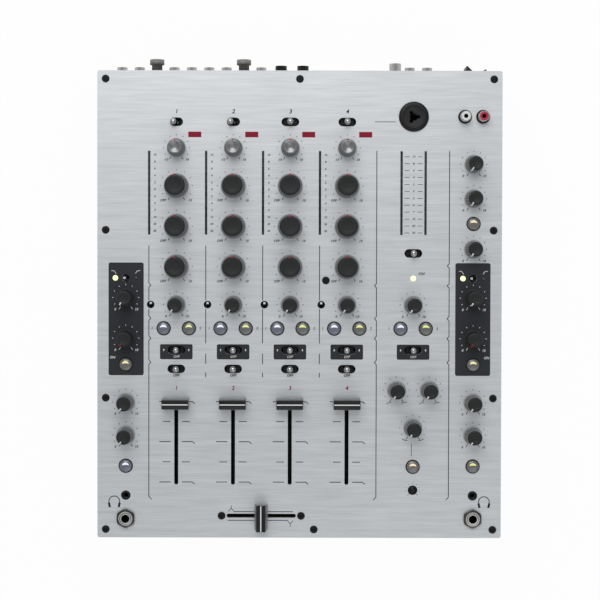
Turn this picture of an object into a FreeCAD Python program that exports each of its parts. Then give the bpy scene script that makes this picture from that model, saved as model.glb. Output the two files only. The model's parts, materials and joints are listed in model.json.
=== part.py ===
import FreeCAD, Part
import Sketcher
import math
import os

# Four channel club mixer: a brushed panel on a folded steel tray, with the controls on boards under it.
# Frame: +X right, +Y to the rear, +Z up. The origin is under the middle of the object, on the table.
# All sizes are in millimetres. Rows and columns are measured from the middle of the top panel.

SIZES = (
    # Case
    ("panel_width", 320, "top panel, side to side"),
    ("panel_depth", 370, "top panel, front to rear"),
    ("panel_thick", 3, "aluminium plate"),
    ("panel_corner", 1.8, "corner radius of the plate"),
    ("tray_inset", 3, "tray wall inside the edge of the plate"),
    ("tray_height", 77, "tray, floor to lip"),
    ("steel_sheet", 1.2, "tray wall"),
    ("lip_width", 7, "folded lip that carries the plate"),
    ("foot_height", 10, "rubber foot"),
    ("foot_radius", 10, "rubber foot at its base"),
    ("foot_taper", 1.5, "foot is this much slimmer at the floor"),
    ("foot_inset", 28, "foot centre from the edges of the plate"),
    # Screws
    ("screw_radius", 1.5, "thread"),
    ("screw_gap", 0.1, "clearance hole round a thread"),
    ("screw_head_radius", 3.1, "button head"),
    ("screw_head_height", 1.2, "button head"),
    ("screw_reach", 6, "thread below the head"),
    ("screw_edge", 6.6, "screw from the edge of the plate"),
    ("screw_rear_row", 59, "row of side screws"),
    ("screw_front_row", -74, "row of side screws"),
    ("screw_front_x", 11.7, "extra screw at the front edge"),
    ("screw_mid_x", 20.8, "screw into the board post"),
    ("screw_mid_y", 19.3, "screw into the board post"),
    # Columns and rows of the controls
    ("channel_first", -97.5, "column of the first channel"),
    ("channel_pitch", 45, "channel to channel"),
    ("master_column", 90, "column of the master section"),
    ("side_column", 137.5, "left and right columns"),
    ("side_margin", 22.5, "left and right columns from the edge of the plate"),
    ("selector_row", 144.5, "input selectors"),
    ("gain_row", 124, "gain knobs"),
    ("high_row", 94, "treble knobs"),
    ("middle_row", 62, "middle knobs"),
    ("low_row", 30, "bass knobs"),
    ("send_row", 0, "effect send knobs"),
    ("send_switch_offset", 20.3, "send slide switch left of its knob"),
    ("cue_row", -18.8, "cue buttons"),
    ("cue_offset", 10, "cue button from its column"),
    ("filter_row", -36, "filter toggles"),
    ("assign_row", -51, "crossfade toggles"),
    ("fader_row", -108, "middle of the channel fader travel"),
    ("crossfader_row", -167.6, "crossfader"),
    ("master_row", 111.4, "master knob"),
    ("booth_row", 84.2, "booth knob"),
    ("mono_row", 64.2, "button between booth and balance"),
    ("balance_row", 44.3, "balance knob"),
    ("mode_row", 21, "filter mode slide switches and lamps"),
    ("mode_lamp_offset", 8.2, "mode lamp from its column"),
    ("resonance_row", 5.5, "filter knob"),
    ("frequency_row", -26.7, "filter knob"),
    ("filter_on_row", -47.5, "filter button"),
    ("source_row", -77.4, "headphone source knob"),
    ("level_row", -103.5, "headphone level knob"),
    ("split_row", -128, "headphone split button"),
    ("mini_jack_row", -151.4, "small headphone jack"),
    ("phone_jack_row", -169.6, "headphone jack"),
    ("front_margin", 15.4, "headphone jack from the front edge of the plate"),
    ("record_row", 148.8, "record sockets and microphone socket"),
    ("record_pitch", 14.2, "record sockets, left to right"),
    ("meter_select_row", 40.8, "meter toggle"),
    ("power_lamp_row", 21, "power lamp"),
    ("shape_row", -67.5, "fader shape knobs"),
    ("shape_offset", 13, "fader shape knob from its column"),
    ("cross_shape_row", -97.5, "crossfader shape knob"),
    ("reverse_row", -128.4, "reverse button"),
    ("trim_row", -147, "recessed trimmer"),
    # Knobs
    ("shaft_radius", 3, "potentiometer shaft"),
    ("fit_gap", 0.05, "running fit of shafts and rods"),
    ("knob_lift", 0.8, "knob skirt above the plate"),
    ("knob_wall", 2.5, "plastic above the shaft"),
    ("knob_dish", 0.5, "hollow of the knob's top"),
    ("knob_edge", 0.7, "bevel round the knob's top"),
    ("knob_skirt", 1.6, "plain band at the foot of a knob"),
    ("knob_ledge", 0.4, "skirt past the ribs"),
    ("rib_depth", 0.6, "ribs of a knob's side"),
    ("pointer_width", 2.2, "notch in a knob's top"),
    ("pointer_length", 3.4, "notch in a knob's top"),
    ("pointer_depth", 0.4, "notch in a knob's top"),
    ("eq_radius", 9.75, "tone knob at its skirt"),
    ("eq_top_radius", 8, "tone knob at its top"),
    ("eq_height", 15.5, "tone knob"),
    ("eq_ribs", 18, "ribs round a tone knob"),
    ("small_radius", 7.3, "small knob at its skirt"),
    ("small_top_radius", 5.7, "small knob at its top"),
    ("small_height", 15, "small knob"),
    ("small_ribs", 14, "ribs round a small knob"),
    ("knob_turn", 300, "whole turn of a knob, degrees"),
    ("shaft_hole_gap", 1, "plate hole round a shaft or a bush"),
    # Potentiometers and boards
    ("board_drop", 14, "plate to board"),
    ("board_thick", 1.6, "circuit board"),
    ("board_margin", 12, "board past the outermost control"),
    ("board_gap", 2, "between two boards"),
    ("board_edge", 8, "board past a switch"),
    ("board_side", 22, "board beside a column"),
    ("post_offset", 17, "board post from the master column"),
    ("side_post_offset", 9, "board post from a side column"),
    ("post_radius", 3, "board post"),
    ("pot_width", 10, "potentiometer body"),
    ("pot_height", 6.5, "potentiometer body"),
    ("bush_radius", 3.8, "potentiometer bush"),
    ("bush_height", 5, "potentiometer bush"),
    ("pot_floor", 1.5, "floor of a potentiometer"),
    ("end_gap", 0.2, "play at the end of a shaft, nub or stem"),
    ("trim_radius", 3.6, "recessed trimmer"),
    ("trim_drop", 0.5, "trimmer below the top of the plate"),
    # Push buttons
    ("button_radius", 4.9, "lens"),
    ("button_gap", 0.45, "plate hole round a lens"),
    ("button_rise", 2.4, "lens above the plate"),
    ("button_edge", 0.9, "bevel of the lens"),
    ("button_depth", 5, "lens below the top of the plate"),
    ("button_stem", 1.5, "stem under the lens"),
    ("button_travel", 1.5, "push"),
    ("button_dome", 0.5, "crown of the lens"),
    ("button_hold", 2.5, "stem inside its switch"),
    ("key_width", 8, "push switch body"),
    ("key_height", 6, "push switch body"),
    # Toggle switches
    ("lever_tip", 2.1, "ball at the end of a lever"),
    ("lever_neck", 1.15, "neck of a lever"),
    ("lever_pivot", 2.2, "pivot ball of a lever"),
    ("lever_length", 10.5, "pivot to the middle of the tip"),
    ("lever_throw", 12, "tilt to either side, degrees"),
    ("lever_gap", 0.15, "seat round a pivot ball"),
    ("pivot_drop", 1.2, "pivot below the top of its switch"),
    ("toggle_gap", 1.6, "switch top below the plate"),
    ("toggle_length", 11, "toggle switch body"),
    ("toggle_width", 7, "toggle switch body"),
    ("opening_width", 6.8, "plate opening of a toggle"),
    ("opening_two", 10.4, "plate opening, two positions"),
    ("opening_three", 14, "plate opening, three positions"),
    # Slide switches under round holes
    ("slider_hole", 3.05, "hole in the plate"),
    ("slider_nub", 1.6, "nub, square"),
    ("slider_drop", 0.6, "nub top below the top of the plate"),
    ("slider_throw", 2.4, "nub travel"),
    ("slider_length", 9, "slide switch body"),
    ("slider_width", 5, "slide switch body"),
    ("slider_slot", 3, "depth of the nub's slot"),
    # Faders
    ("fader_travel", 60, "channel fader"),
    ("cross_travel", 45, "crossfader"),
    ("cap_width", 21, "fader cap across its travel"),
    ("cap_length", 10.6, "fader cap along its travel"),
    ("cap_top_length", 8, "fader cap at its top"),
    ("cap_height", 11, "fader cap"),
    ("cap_dish", 1, "hollow of the cap's top"),
    ("cap_lift", 3, "cap above the plate"),
    ("stem_thick", 1.6, "fader stem across its travel"),
    ("stem_length", 5, "fader stem along its travel"),
    ("stem_socket", 6, "stem inside the cap"),
    ("slot_width", 3.2, "plate slot"),
    ("slot_play", 2.5, "plate slot past the stem"),
    ("carriage_length", 8, "fader carriage"),
    ("carriage_width", 7, "fader carriage"),
    ("carriage_height", 6, "fader carriage"),
    ("carriage_play", 2, "rail past the carriage"),
    ("carriage_drop", 4, "carriage top below the plate"),
    ("rod_radius", 1.5, "guide rod"),
    ("rail_end", 6, "solid end of a rail"),
    ("rail_wall", 1, "rail side and floor"),
    ("rail_width", 11, "rail"),
    ("rail_height", 14, "rail"),
    # Meters and lamps
    ("meter_length", 66, "meter window"),
    ("meter_width", 1.7, "meter window"),
    ("meter_row", 88.5, "middle of the meter windows"),
    ("meter_offset", 21.5, "meter left of its channel"),
    ("meter_pair", 9.5, "master meter from its column"),
    ("meter_rise", 0.2, "window above the plate"),
    ("meter_flange", 0.8, "window flange under the plate"),
    ("lamp_radius", 1.5, "lamp"),
    ("lamp_rise", 0.8, "lamp above the plate"),
    ("window_gap", 0.1, "plate opening round a window or lamp"),
    # Sockets in the plate
    ("jack_bore", 3.25, "jack plug hole"),
    ("jack_bush", 4.6, "jack bush"),
    ("jack_nut", 8.1, "jack nut, corner radius"),
    ("jack_nut_height", 2.4, "jack nut"),
    ("jack_rise", 3.4, "jack bush above the plate"),
    ("jack_depth", 24, "jack body below the plate"),
    ("jack_body", 6, "jack body, half width"),
    ("mini_bush", 3.6, "small jack bush"),
    ("mini_bore", 1.8, "small jack hole"),
    ("mini_depth", 13, "small jack body"),
    ("mini_body", 4.5, "small jack body, half width"),
    ("jack_shoulder", 3, "jack body below the plate"),
    ("jack_floor", 1.5, "floor of a jack body"),
    ("phono_flange", 5.4, "record socket at the plate"),
    ("phono_sleeve", 4.15, "record socket sleeve"),
    ("phono_rise", 8, "socket sleeve above its wall"),
    ("phono_seat", 1.2, "socket flange"),
    ("phono_bore", 1.7, "socket pin hole"),
    ("phono_depth", 9, "socket behind its wall"),
    ("combo_radius", 11.8, "microphone socket flange"),
    ("combo_body", 10.6, "microphone socket body"),
    ("combo_rise", 1.8, "flange above the plate"),
    ("combo_groove", 0.8, "ring groove in the flange"),
    ("combo_face", 8.2, "face inside the ring groove"),
    ("combo_depth", 26, "body below the plate"),
    ("contact_radius", 1.6, "contact hole"),
    ("contact_circle", 3.9, "contact holes from the middle"),
    # Rear wall
    ("rear_first", -143.2, "first column of rear sockets"),
    ("rear_pitch", 14, "rear columns"),
    ("rear_upper", 66, "upper row above the table"),
    ("rear_lower", 44, "lower row above the table"),
    ("rear_gap", 0.2, "wall hole round a socket"),
    ("post_neck", 4.2, "ground post"),
    ("post_head", 5.8, "ground post nut"),
    ("post_head_length", 4, "ground post nut"),
    ("post_length", 14.3, "ground post past the wall"),
    ("send_jack_first", -15.2, "first rear jack"),
    ("send_jack_pitch", 17.6, "rear jacks"),
    ("send_jack_nut", 5.5, "rear jack nut"),
    ("send_jack_reach", 9.4, "rear jack past the wall"),
    ("send_jack_ring", 3, "rear jack nut"),
    ("rear_depth", 22, "rear jack behind the wall"),
    ("lamp_socket_x", 76.8, "lamp socket"),
    ("lamp_socket_radius", 4.8, "lamp socket barrel"),
    ("lamp_socket_base", 5.6, "lamp socket nut"),
    ("lamp_socket_bore", 3.4, "lamp socket barrel"),
    ("lamp_socket_reach", 11.4, "lamp socket past the wall"),
    ("digital_first", 88.5, "last pair of rear columns"),
    ("mains_x", 140, "mains switch and inlet"),
    ("mains_switch_z", 64, "mains switch"),
    ("mains_inlet_z", 33, "mains inlet"),
    ("mains_width", 28, "inlet flange"),
    ("mains_height", 22, "inlet flange"),
    ("mains_flange", 2.4, "inlet flange past the wall"),
    ("inlet_width", 24, "inlet recess"),
    ("inlet_height", 16.4, "inlet recess"),
    ("inlet_depth", 16, "inlet recess"),
    ("inlet_wall", 1.2, "inlet wall"),
    ("inlet_corner", 5, "cut corner of the recess"),
    ("blade_width", 4, "contact blade"),
    ("blade_thick", 1.8, "contact blade"),
    ("blade_setback", 5, "blade tip inside the mouth"),
    ("blade_pitch", 7, "outer blades from the middle"),
    ("blade_step", 3, "middle blade above the outer ones"),
    ("rocker_width", 16, "rocker"),
    ("rocker_height", 22, "rocker"),
    ("rocker_swing", 10, "tilt to either side, degrees"),
    ("rocker_proud", 4, "rocker wing past its frame"),
    ("rocker_valley", 2, "middle of the rocker past its frame"),
    ("rocker_gap", 1.3, "frame round the rocker"),
    ("rocker_axle", 1.5, "rocker axle"),
    ("rocker_frame", 2.6, "width of the frame"),
    ("rocker_depth", 16, "switch behind the wall"),
    # Power supply
    ("transformer_radius", 34, "ring core transformer"),
    ("transformer_height", 32, "ring core transformer"),
    ("transformer_eye", 9, "hole of the transformer"),
    ("transformer_x", 90, "transformer"),
    ("transformer_y", 80, "transformer"),
)

# Places that many pieces share
PANEL_UNDER = "(dims.foot_height + dims.tray_height)"
PANEL_TOP = f"({PANEL_UNDER} + dims.panel_thick)"
PANEL_Y = "((dims.tray_inset - dims.post_length) / 2)"
REAR_FACE = f"({PANEL_Y} + dims.panel_depth / 2 - dims.tray_inset)"
BOARD_TOP = f"({PANEL_UNDER} - dims.board_drop)"
# Columns and rows spread with the plate, so that the outer ones keep their margins
COLUMN_SPREAD = "((dims.panel_width / 2 - dims.side_margin) / dims.side_column)"
ROW_SPREAD = "((dims.front_margin - dims.panel_depth / 2) / dims.phone_jack_row)"
FLOOR_TOP = "(dims.foot_height + dims.steel_sheet)"
CHANNELS = (0, 1, 2, 3)
SIDES = (("left", -1), ("right", 1))
REARWARD = FreeCAD.Rotation(FreeCAD.Vector(1, 0, 0), -90)
ACROSS = FreeCAD.Rotation(FreeCAD.Vector(0, 0, 1), -90)
SIDEWAYS = FreeCAD.Rotation(FreeCAD.Vector(0, 1, 0), 90)
UPRIGHT = FreeCAD.Rotation()
ANTICLOCKWISE = FreeCAD.Rotation(FreeCAD.Vector(0, 0, 1), 90)
CLOCKWISE = FreeCAD.Rotation(FreeCAD.Vector(0, 0, -1), 90)
TILT_LEFT = FreeCAD.Rotation(FreeCAD.Vector(0, -1, 0), 90)

doc = FreeCAD.newDocument("club_mixer")
sheet = doc.addObject("Spreadsheet::Sheet", "dims")
for line, (alias, size, meaning) in enumerate(SIZES, 1):
    sheet.set(f"A{line}", meaning)
    sheet.set(f"B{line}", str(size))
    sheet.setAlias(f"B{line}", alias)
doc.recompute()

nodes = {}


# Places and sizes as expressions

def column(text):
    return f"({COLUMN_SPREAD} * ({text}))"


def channel(number):
    return column(f"dims.channel_first + {number} * dims.channel_pitch")


def side(sign):
    return column(f"{sign} * dims.side_column")


def row(alias):
    return f"({PANEL_Y} + {ROW_SPREAD} * dims.{alias})"


def size_of(text):
    return float(sheet.evalExpression(text))


# Building steps

def place(thing, x, y, z, turn=UPRIGHT, angle=None):
    """Tie a thing's place to expressions. An angle sets how far it goes about the axis of its turn."""
    thing.Placement = FreeCAD.Placement(FreeCAD.Vector(), turn)
    for axis, text in zip("xyz", (x, y, z)):
        thing.setExpression(f".Placement.Base.{axis}", text)
    if angle:
        thing.setExpression(".Placement.Rotation.Angle", angle)
    return thing


def block(name, length, width, height, x, y, z):
    """A box centred on x and y that stands on z."""
    thing = doc.addObject("Part::Box", name)
    for size, text in (("Length", length), ("Width", width), ("Height", height)):
        thing.setExpression(size, text)
    return place(thing, f"{x} - ({length}) / 2", f"{y} - ({width}) / 2", z)


def rod(name, radius, height, x, y, z, turn=UPRIGHT):
    thing = doc.addObject("Part::Cylinder", name)
    thing.setExpression("Radius", radius)
    thing.setExpression("Height", height)
    return place(thing, x, y, z, turn)


def fuse(name, *things):
    joined = doc.addObject("Part::MultiFuse", name)
    joined.Shapes = list(things)
    return joined


def group(name, things):
    together = doc.addObject("Part::Compound", name)
    together.Links = list(things)
    return together


def cut(name, base, tools):
    result = doc.addObject("Part::Cut", name)
    result.Base = base
    result.Tool = tools[0] if len(tools) == 1 else group(f"{name}_cuts", tools)
    return result


def slot(name, length, width, height, x, y, z, along="x"):
    """A bar with round ends, for an opening in the plate."""
    straight = f"(({length}) - ({width}))"
    sizes = (straight, width) if along == "x" else (width, straight)
    ends = []
    for sign in ("-", "+"):
        shift = f"{sign} {straight} / 2"
        spot = (f"{x} {shift}", y) if along == "x" else (x, f"{y} {shift}")
        ends.append(rod(f"{name}_end", f"({width}) / 2", height, *spot, z))
    return fuse(name, block(f"{name}_bar", *sizes, height, x, y, z), *ends)


def sketch_on(body, role, name):
    sketch = body.newObject("Sketcher::SketchObject", name)
    plane = next(item for item in body.Origin.OriginFeatures if item.Role == role)
    sketch.AttachmentSupport = [(plane, "")]
    sketch.MapMode = "FlatFace"
    return sketch


def outline(body, role, points, lift=None):
    """A closed outline of straight runs with each corner tied to two expressions."""
    sketch = sketch_on(body, role, f"{body.Name}_outline")
    if lift:
        sketch.setExpression("AttachmentOffset.Base.z", lift)
    corners = [FreeCAD.Vector(size_of(across), size_of(up), 0) for across, up in points]
    count = len(corners)
    for index in range(count):
        sketch.addGeometry(Part.LineSegment(corners[index], corners[(index + 1) % count]))
    for index in range(count):
        sketch.addConstraint(Sketcher.Constraint("Coincident", index, 2, (index + 1) % count, 1))
    for index, texts in enumerate(points):
        for kind, text, axis, start in zip(("DistanceX", "DistanceY"), texts, (-2, -1), corners[index]):
            if text == "0":
                sketch.addConstraint(Sketcher.Constraint("PointOnObject", index, 1, axis))
            else:
                tie = sketch.addConstraint(Sketcher.Constraint(kind, -1, 1, index, 1, start))
                sketch.setExpression(f"Constraints[{tie}]", text)
    return sketch


def turned(name, points):
    """A body turned about Z from an outline of radius and height."""
    body = doc.addObject("PartDesign::Body", name)
    sketch = outline(body, "XZ_Plane", points)
    turn = body.newObject("PartDesign::Revolution", f"{name}_turn")
    turn.Profile = sketch
    turn.ReferenceAxis = (sketch, ["V_Axis"])
    turn.Angle = 360
    return body


def drawn(name, role, points, length, lift=None, symmetric=False):
    """A body drawn out from an outline, to one side or to both."""
    body = doc.addObject("PartDesign::Body", name)
    pad = body.newObject("PartDesign::Pad", f"{name}_pad")
    pad.Profile = outline(body, role, points, lift)
    pad.setExpression("Length", length)
    if symmetric:
        pad.SideType = "Symmetric"
    return body


def clone(name, form, x, y, z, turn=UPRIGHT, angle=None):
    """A copy of a form at its own place."""
    body = doc.addObject("PartDesign::Body", name)
    base = doc.addObject("PartDesign::FeatureBase", f"{name}_base")
    body.Group = [base]
    base.BaseFeature = form
    body.Tip = base
    return place(body, x, y, z, turn, angle)


def keep(label, thing):
    """Hand a finished sub-part over under its own name."""
    thing.Label = label
    nodes[label] = thing


# Knobs

KNOB_SEAT = f"({PANEL_TOP} + dims.knob_lift)"
AT_MINIMUM = "dims.knob_turn / 2"


def rib_ring(count, radius, depth, height):
    """A ring of ribs in plan, out and in by turns."""
    corners = []
    for index in range(2 * count):
        reach = radius - depth * (index % 2)
        angle = math.pi * index / count
        corners.append(FreeCAD.Vector(reach * math.cos(angle), reach * math.sin(angle), height))
    return Part.makePolygon(corners + corners[:1])


def knob_form(kind):
    """A tapered, ribbed knob with a plain skirt, a dished top, a shaft bore and a pointer notch."""
    radius = f"dims.{kind}_radius"
    top = f"dims.{kind}_top_radius"
    height = f"dims.{kind}_height"
    shoulder = f"({height} - dims.knob_edge)"
    ribs = doc.addObject("Part::Feature", f"{kind}_ribs")
    count = int(size_of(f"dims.{kind}_ribs"))
    depth = size_of("dims.rib_depth")
    foot = rib_ring(count, size_of(f"{radius} - dims.knob_ledge"), depth, size_of("dims.knob_skirt"))
    head = rib_ring(count, size_of(top), depth, size_of(shoulder))
    ribs.Shape = Part.makeLoft([foot, head], True, True)
    skirt = rod(f"{kind}_skirt", radius, "dims.knob_skirt", "0", "0", "0")
    crown = doc.addObject("Part::Cone", f"{kind}_crown")
    crown.setExpression("Radius1", f"{top} - dims.rib_depth")
    crown.setExpression("Radius2", f"{top} - dims.rib_depth - dims.knob_edge")
    crown.setExpression("Height", "dims.knob_edge")
    place(crown, "0", "0", shoulder)
    dish = doc.addObject("Part::Cone", f"{kind}_dish")
    dish.setExpression("Radius1", f"{top} / 3")
    dish.setExpression("Radius2", f"{top} - dims.rib_depth - 2 * dims.knob_edge")
    dish.setExpression("Height", "dims.knob_dish")
    place(dish, "0", "0", f"{height} - dims.knob_dish")
    bore = rod(f"{kind}_bore", "dims.shaft_radius + dims.fit_gap", f"{height} - dims.knob_wall", "0", "0", "0")
    notch = drawn(f"{kind}_notch", "XY_Plane", (
        ("0", f"{top} - dims.rib_depth"),
        ("-dims.pointer_width / 2", f"{top} - dims.pointer_length"),
        ("dims.pointer_width / 2", f"{top} - dims.pointer_length")),
        "dims.pointer_depth + dims.knob_dish", f"{height} - dims.pointer_depth")
    return cut(f"{kind}_knob_form", fuse(f"{kind}_knob_body", skirt, ribs, crown), [dish, bore, notch])


knob_forms = {kind: knob_form(kind) for kind in ("eq", "small")}
MASTER_X = column("dims.master_column")


def knob_list():
    """Every knob: its name, its form, its column and row, and whether it rests at its minimum."""
    knobs = []
    for number in CHANNELS:
        name, x = f"channel_{number + 1}", channel(number)
        knobs.append((f"{name}_gain_knob", "small", x, row("gain_row"), None))
        for band in ("high", "middle", "low"):
            knobs.append((f"{name}_{band}_knob", "eq", x, row(f"{band}_row"), None))
        knobs.append((f"{name}_send_knob", "small", x, row("send_row"), AT_MINIMUM))
    knobs.append(("return_knob", "small", MASTER_X, row("send_row"), AT_MINIMUM))
    knobs.append(("cross_shape_knob", "small", MASTER_X, row("cross_shape_row"), AT_MINIMUM))
    for name, sign in SIDES:
        x = f"({MASTER_X} + {sign} * dims.shape_offset)"
        knobs.append((f"{name}_shape_knob", "small", x, row("shape_row"), AT_MINIMUM))
        for job in ("resonance", "frequency", "source", "level"):
            knobs.append((f"{name}_{job}_knob", "small", side(sign), row(f"{job}_row"), AT_MINIMUM))
    for job in ("master", "booth", "balance"):
        knobs.append((f"{job}_knob", "small", side(1), row(f"{job}_row"), AT_MINIMUM))
    return knobs


def pot_form():
    """A potentiometer's body and bush, with the bore that its shaft turns in."""
    width = "dims.pot_width"
    height = "(dims.pot_height + dims.bush_height)"
    body = fuse("pot_body",
                block("pot_case", width, width, "dims.pot_height", "0", "0", "0"),
                rod("pot_bush", "dims.bush_radius", height, "0", "0", "0"))
    bore = rod("pot_bore", "dims.shaft_radius + dims.fit_gap", height, "0", "0", "dims.pot_floor")
    return cut("pot_form", body, [bore])


knobs = knob_list()
shaft_foot = f"({BOARD_TOP} + dims.pot_floor + dims.end_gap)"
for label, kind, x, y, angle in knobs:
    cap = clone(f"{label}_cap", knob_forms[kind], x, y, KNOB_SEAT, ANTICLOCKWISE if angle else UPRIGHT, angle)
    shaft_head = f"({KNOB_SEAT} + dims.{kind}_height - dims.knob_wall - dims.end_gap)"
    shaft = rod(f"{label}_shaft", "dims.shaft_radius", f"{shaft_head} - {shaft_foot}", x, y, shaft_foot)
    keep(label, group(label, [cap, shaft]))


# Push buttons

def button_list():
    spots = []
    for x in [channel(number) for number in CHANNELS] + [MASTER_X]:
        for sign in ("-", "+"):
            spots.append((f"({x} {sign} dims.cue_offset)", row("cue_row")))
    for name, sign in SIDES:
        for job in ("filter_on", "split"):
            spots.append((side(sign), row(f"{job}_row")))
    spots.append((side(1), row("mono_row")))
    spots.append((MASTER_X, row("reverse_row")))
    return spots


def button_form():
    """A crowned lens on the stem that runs in its push switch."""
    stem = "(dims.board_drop + dims.panel_thick - dims.button_depth - dims.key_height + dims.button_hold)"
    top = f"({stem} + dims.button_depth + dims.button_rise)"
    edge = f"({top} - dims.button_dome)"
    return turned("button_form", (
        ("0", "0"),
        ("dims.button_stem", "0"),
        ("dims.button_stem", stem),
        ("dims.button_radius", stem),
        ("dims.button_radius", f"{edge} - dims.button_edge"),
        ("dims.button_radius - dims.button_edge", edge),
        ("0", top)))


def key_form():
    width = "dims.key_width"
    case = block("key_case", width, width, "dims.key_height", "0", "0", "0")
    depth = "(dims.button_hold + dims.button_travel + dims.end_gap)"
    bore = rod("key_bore", "dims.button_stem + dims.fit_gap", depth, "0", "0", f"dims.key_height - {depth}")
    return cut("key_form", case, [bore])


buttons = button_list()
stem_foot = f"({BOARD_TOP} + dims.key_height - dims.button_hold)"
lens_form = button_form()
lenses = [clone(f"button_{index}", lens_form, x, y, stem_foot) for index, (x, y) in enumerate(buttons)]
keep("push_buttons", group("push_buttons", lenses))


# Toggle switches

PIVOT = f"({PANEL_UNDER} - dims.toggle_gap - dims.pivot_drop)"


def ball(name, radius, z):
    thing = doc.addObject("Part::Sphere", name)
    thing.setExpression("Radius", radius)
    return place(thing, "0", "0", z)


def lever_form():
    """A lever with a pivot ball at its foot and a round tip."""
    neck = rod("lever_neck", "dims.lever_neck", "dims.lever_length", "0", "0", "0")
    return fuse("lever_form",
                ball("lever_pivot", "dims.lever_pivot", "0"), neck,
                ball("lever_tip", "dims.lever_tip", "dims.lever_length"))


def toggle_form():
    height = "(dims.board_drop - dims.toggle_gap)"
    case = block("toggle_case", "dims.toggle_length", "dims.toggle_width", height, "0", "0", "0")
    seat = f"({height} - dims.pivot_drop - dims.lever_pivot - dims.lever_gap)"
    bore = rod("toggle_bore", "dims.lever_pivot + dims.lever_gap", height, "0", "0", seat)
    return cut("toggle_form", case, [bore])


TWO_WAY = CHANNELS[:2]
lever = lever_form()
toggles = []
for number in CHANNELS:
    name, x = f"channel_{number + 1}", channel(number)
    rows = ["filter_row", "assign_row"]
    if number in TWO_WAY:
        label = f"{name}_selector_lever"
        keep(label, clone(label, lever, x, row("selector_row"), PIVOT, TILT_LEFT, "dims.lever_throw"))
        toggles.append((x, "selector_row", "opening_two"))
    else:
        rows.append("selector_row")
    toggles += [(x, alias, "opening_three") for alias in rows]
    label = f"{name}_toggle_levers"
    keep(label, group(label, [clone(f"{name}_{alias}_lever", lever, x, row(alias), PIVOT) for alias in rows]))
master_rows = ("meter_select_row", "filter_row")
toggles += [(MASTER_X, alias, "opening_three") for alias in master_rows]
levers = [clone(f"master_{alias}_lever", lever, MASTER_X, row(alias), PIVOT) for alias in master_rows]
keep("master_toggle_levers", group("master_toggle_levers", levers))


# Slide switches under round holes

NUB_TOP = f"({PANEL_TOP} - dims.slider_drop)"
SLIDER_HEIGHT = "(dims.board_drop - dims.toggle_gap)"
SLIDER_FLOOR = f"({SLIDER_HEIGHT} - dims.slider_slot)"


def slider_form(name, along):
    """A slide switch body with the slot that its nub runs in."""
    gap = "2 * dims.lever_gap"
    case_sizes = ["dims.slider_width", "dims.slider_length"]
    slot_sizes = [f"dims.slider_nub + {gap}", f"dims.slider_nub + dims.slider_throw + {gap}"]
    if along == "x":
        case_sizes.reverse()
        slot_sizes.reverse()
    case = block(f"{name}_case", *case_sizes, SLIDER_HEIGHT, "0", "0", "0")
    return cut(f"{name}_form", case, [block(f"{name}_slot", *slot_sizes, SLIDER_HEIGHT, "0", "0", SLIDER_FLOOR)])


def nub(name, x, y):
    foot = f"({BOARD_TOP} + {SLIDER_FLOOR} + dims.end_gap)"
    return block(name, "dims.slider_nub", "dims.slider_nub", f"{NUB_TOP} - {foot}", x, y, foot)


send_spots = [(f"({channel(number)} - dims.send_switch_offset)", row("send_row")) for number in CHANNELS]
mode_spots = [(side(sign), row("mode_row")) for name, sign in SIDES]
at_rear = f"({row('send_row')} + dims.slider_throw / 2)"
nubs = [nub(f"send_nub_{index}", x, at_rear) for index, (x, y) in enumerate(send_spots)]
keep("send_slide_nubs", group("send_slide_nubs", nubs))
nubs = [nub(f"mode_nub_{index}", f"({x} - dims.slider_throw / 2)", y) for index, (x, y) in enumerate(mode_spots)]
keep("filter_mode_nubs", group("filter_mode_nubs", nubs))


# Faders

def rail_inside(travel):
    return f"(dims.{travel} + dims.carriage_length + 2 * dims.carriage_play)"


def rail_form(travel, screwed):
    """A trough with solid ends that hangs under the plate, its rim at height zero."""
    inside = rail_inside(travel)
    bottom = "-dims.rail_height"
    outer = block(f"{travel}_trough", "dims.rail_width", f"{inside} + 2 * dims.rail_end", "dims.rail_height",
                  "0", "0", bottom)
    tools = [block(f"{travel}_hollow", "dims.rail_width - 2 * dims.rail_wall", inside, "dims.rail_height",
                   "0", "0", f"{bottom} + dims.rail_wall")]
    if screwed:
        for sign in ("-", "+"):
            tools.append(rod(f"{travel}_screw_hole", "dims.screw_radius + dims.screw_gap", "dims.screw_reach",
                             "0", f"{sign} {screw_reach(travel)}", "-dims.screw_reach"))
    return cut(f"{travel}_rail_form", outer, tools)


def screw_reach(travel):
    return f"(({rail_inside(travel)} + dims.rail_end) / 2)"


def guide_form(travel):
    """The round guide between the ends of a rail."""
    length = rail_inside(travel)
    return turned(f"{travel}_guide_form", (
        ("0", "0"), ("dims.rod_radius", "0"), ("dims.rod_radius", length), ("0", length)))


def carriage_form():
    """The carriage that runs on the guide, with the stem that carries the cap."""
    foot = "-(dims.carriage_drop + dims.carriage_height)"
    stem_top = "(dims.panel_thick + dims.cap_lift + dims.stem_socket)"
    body = fuse("carriage_body",
                block("carriage_block", "dims.carriage_width", "dims.carriage_length", "dims.carriage_height",
                      "0", "0", foot),
                block("carriage_stem", "dims.stem_thick", "dims.stem_length",
                      f"{stem_top} + dims.carriage_drop", "0", "0", "-dims.carriage_drop"))
    bore = rod("carriage_bore", "dims.rod_radius + dims.fit_gap", "2 * dims.carriage_length",
               "0", "-dims.carriage_length", ROD_LEVEL, REARWARD)
    return cut("carriage_form", body, [bore])


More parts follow.
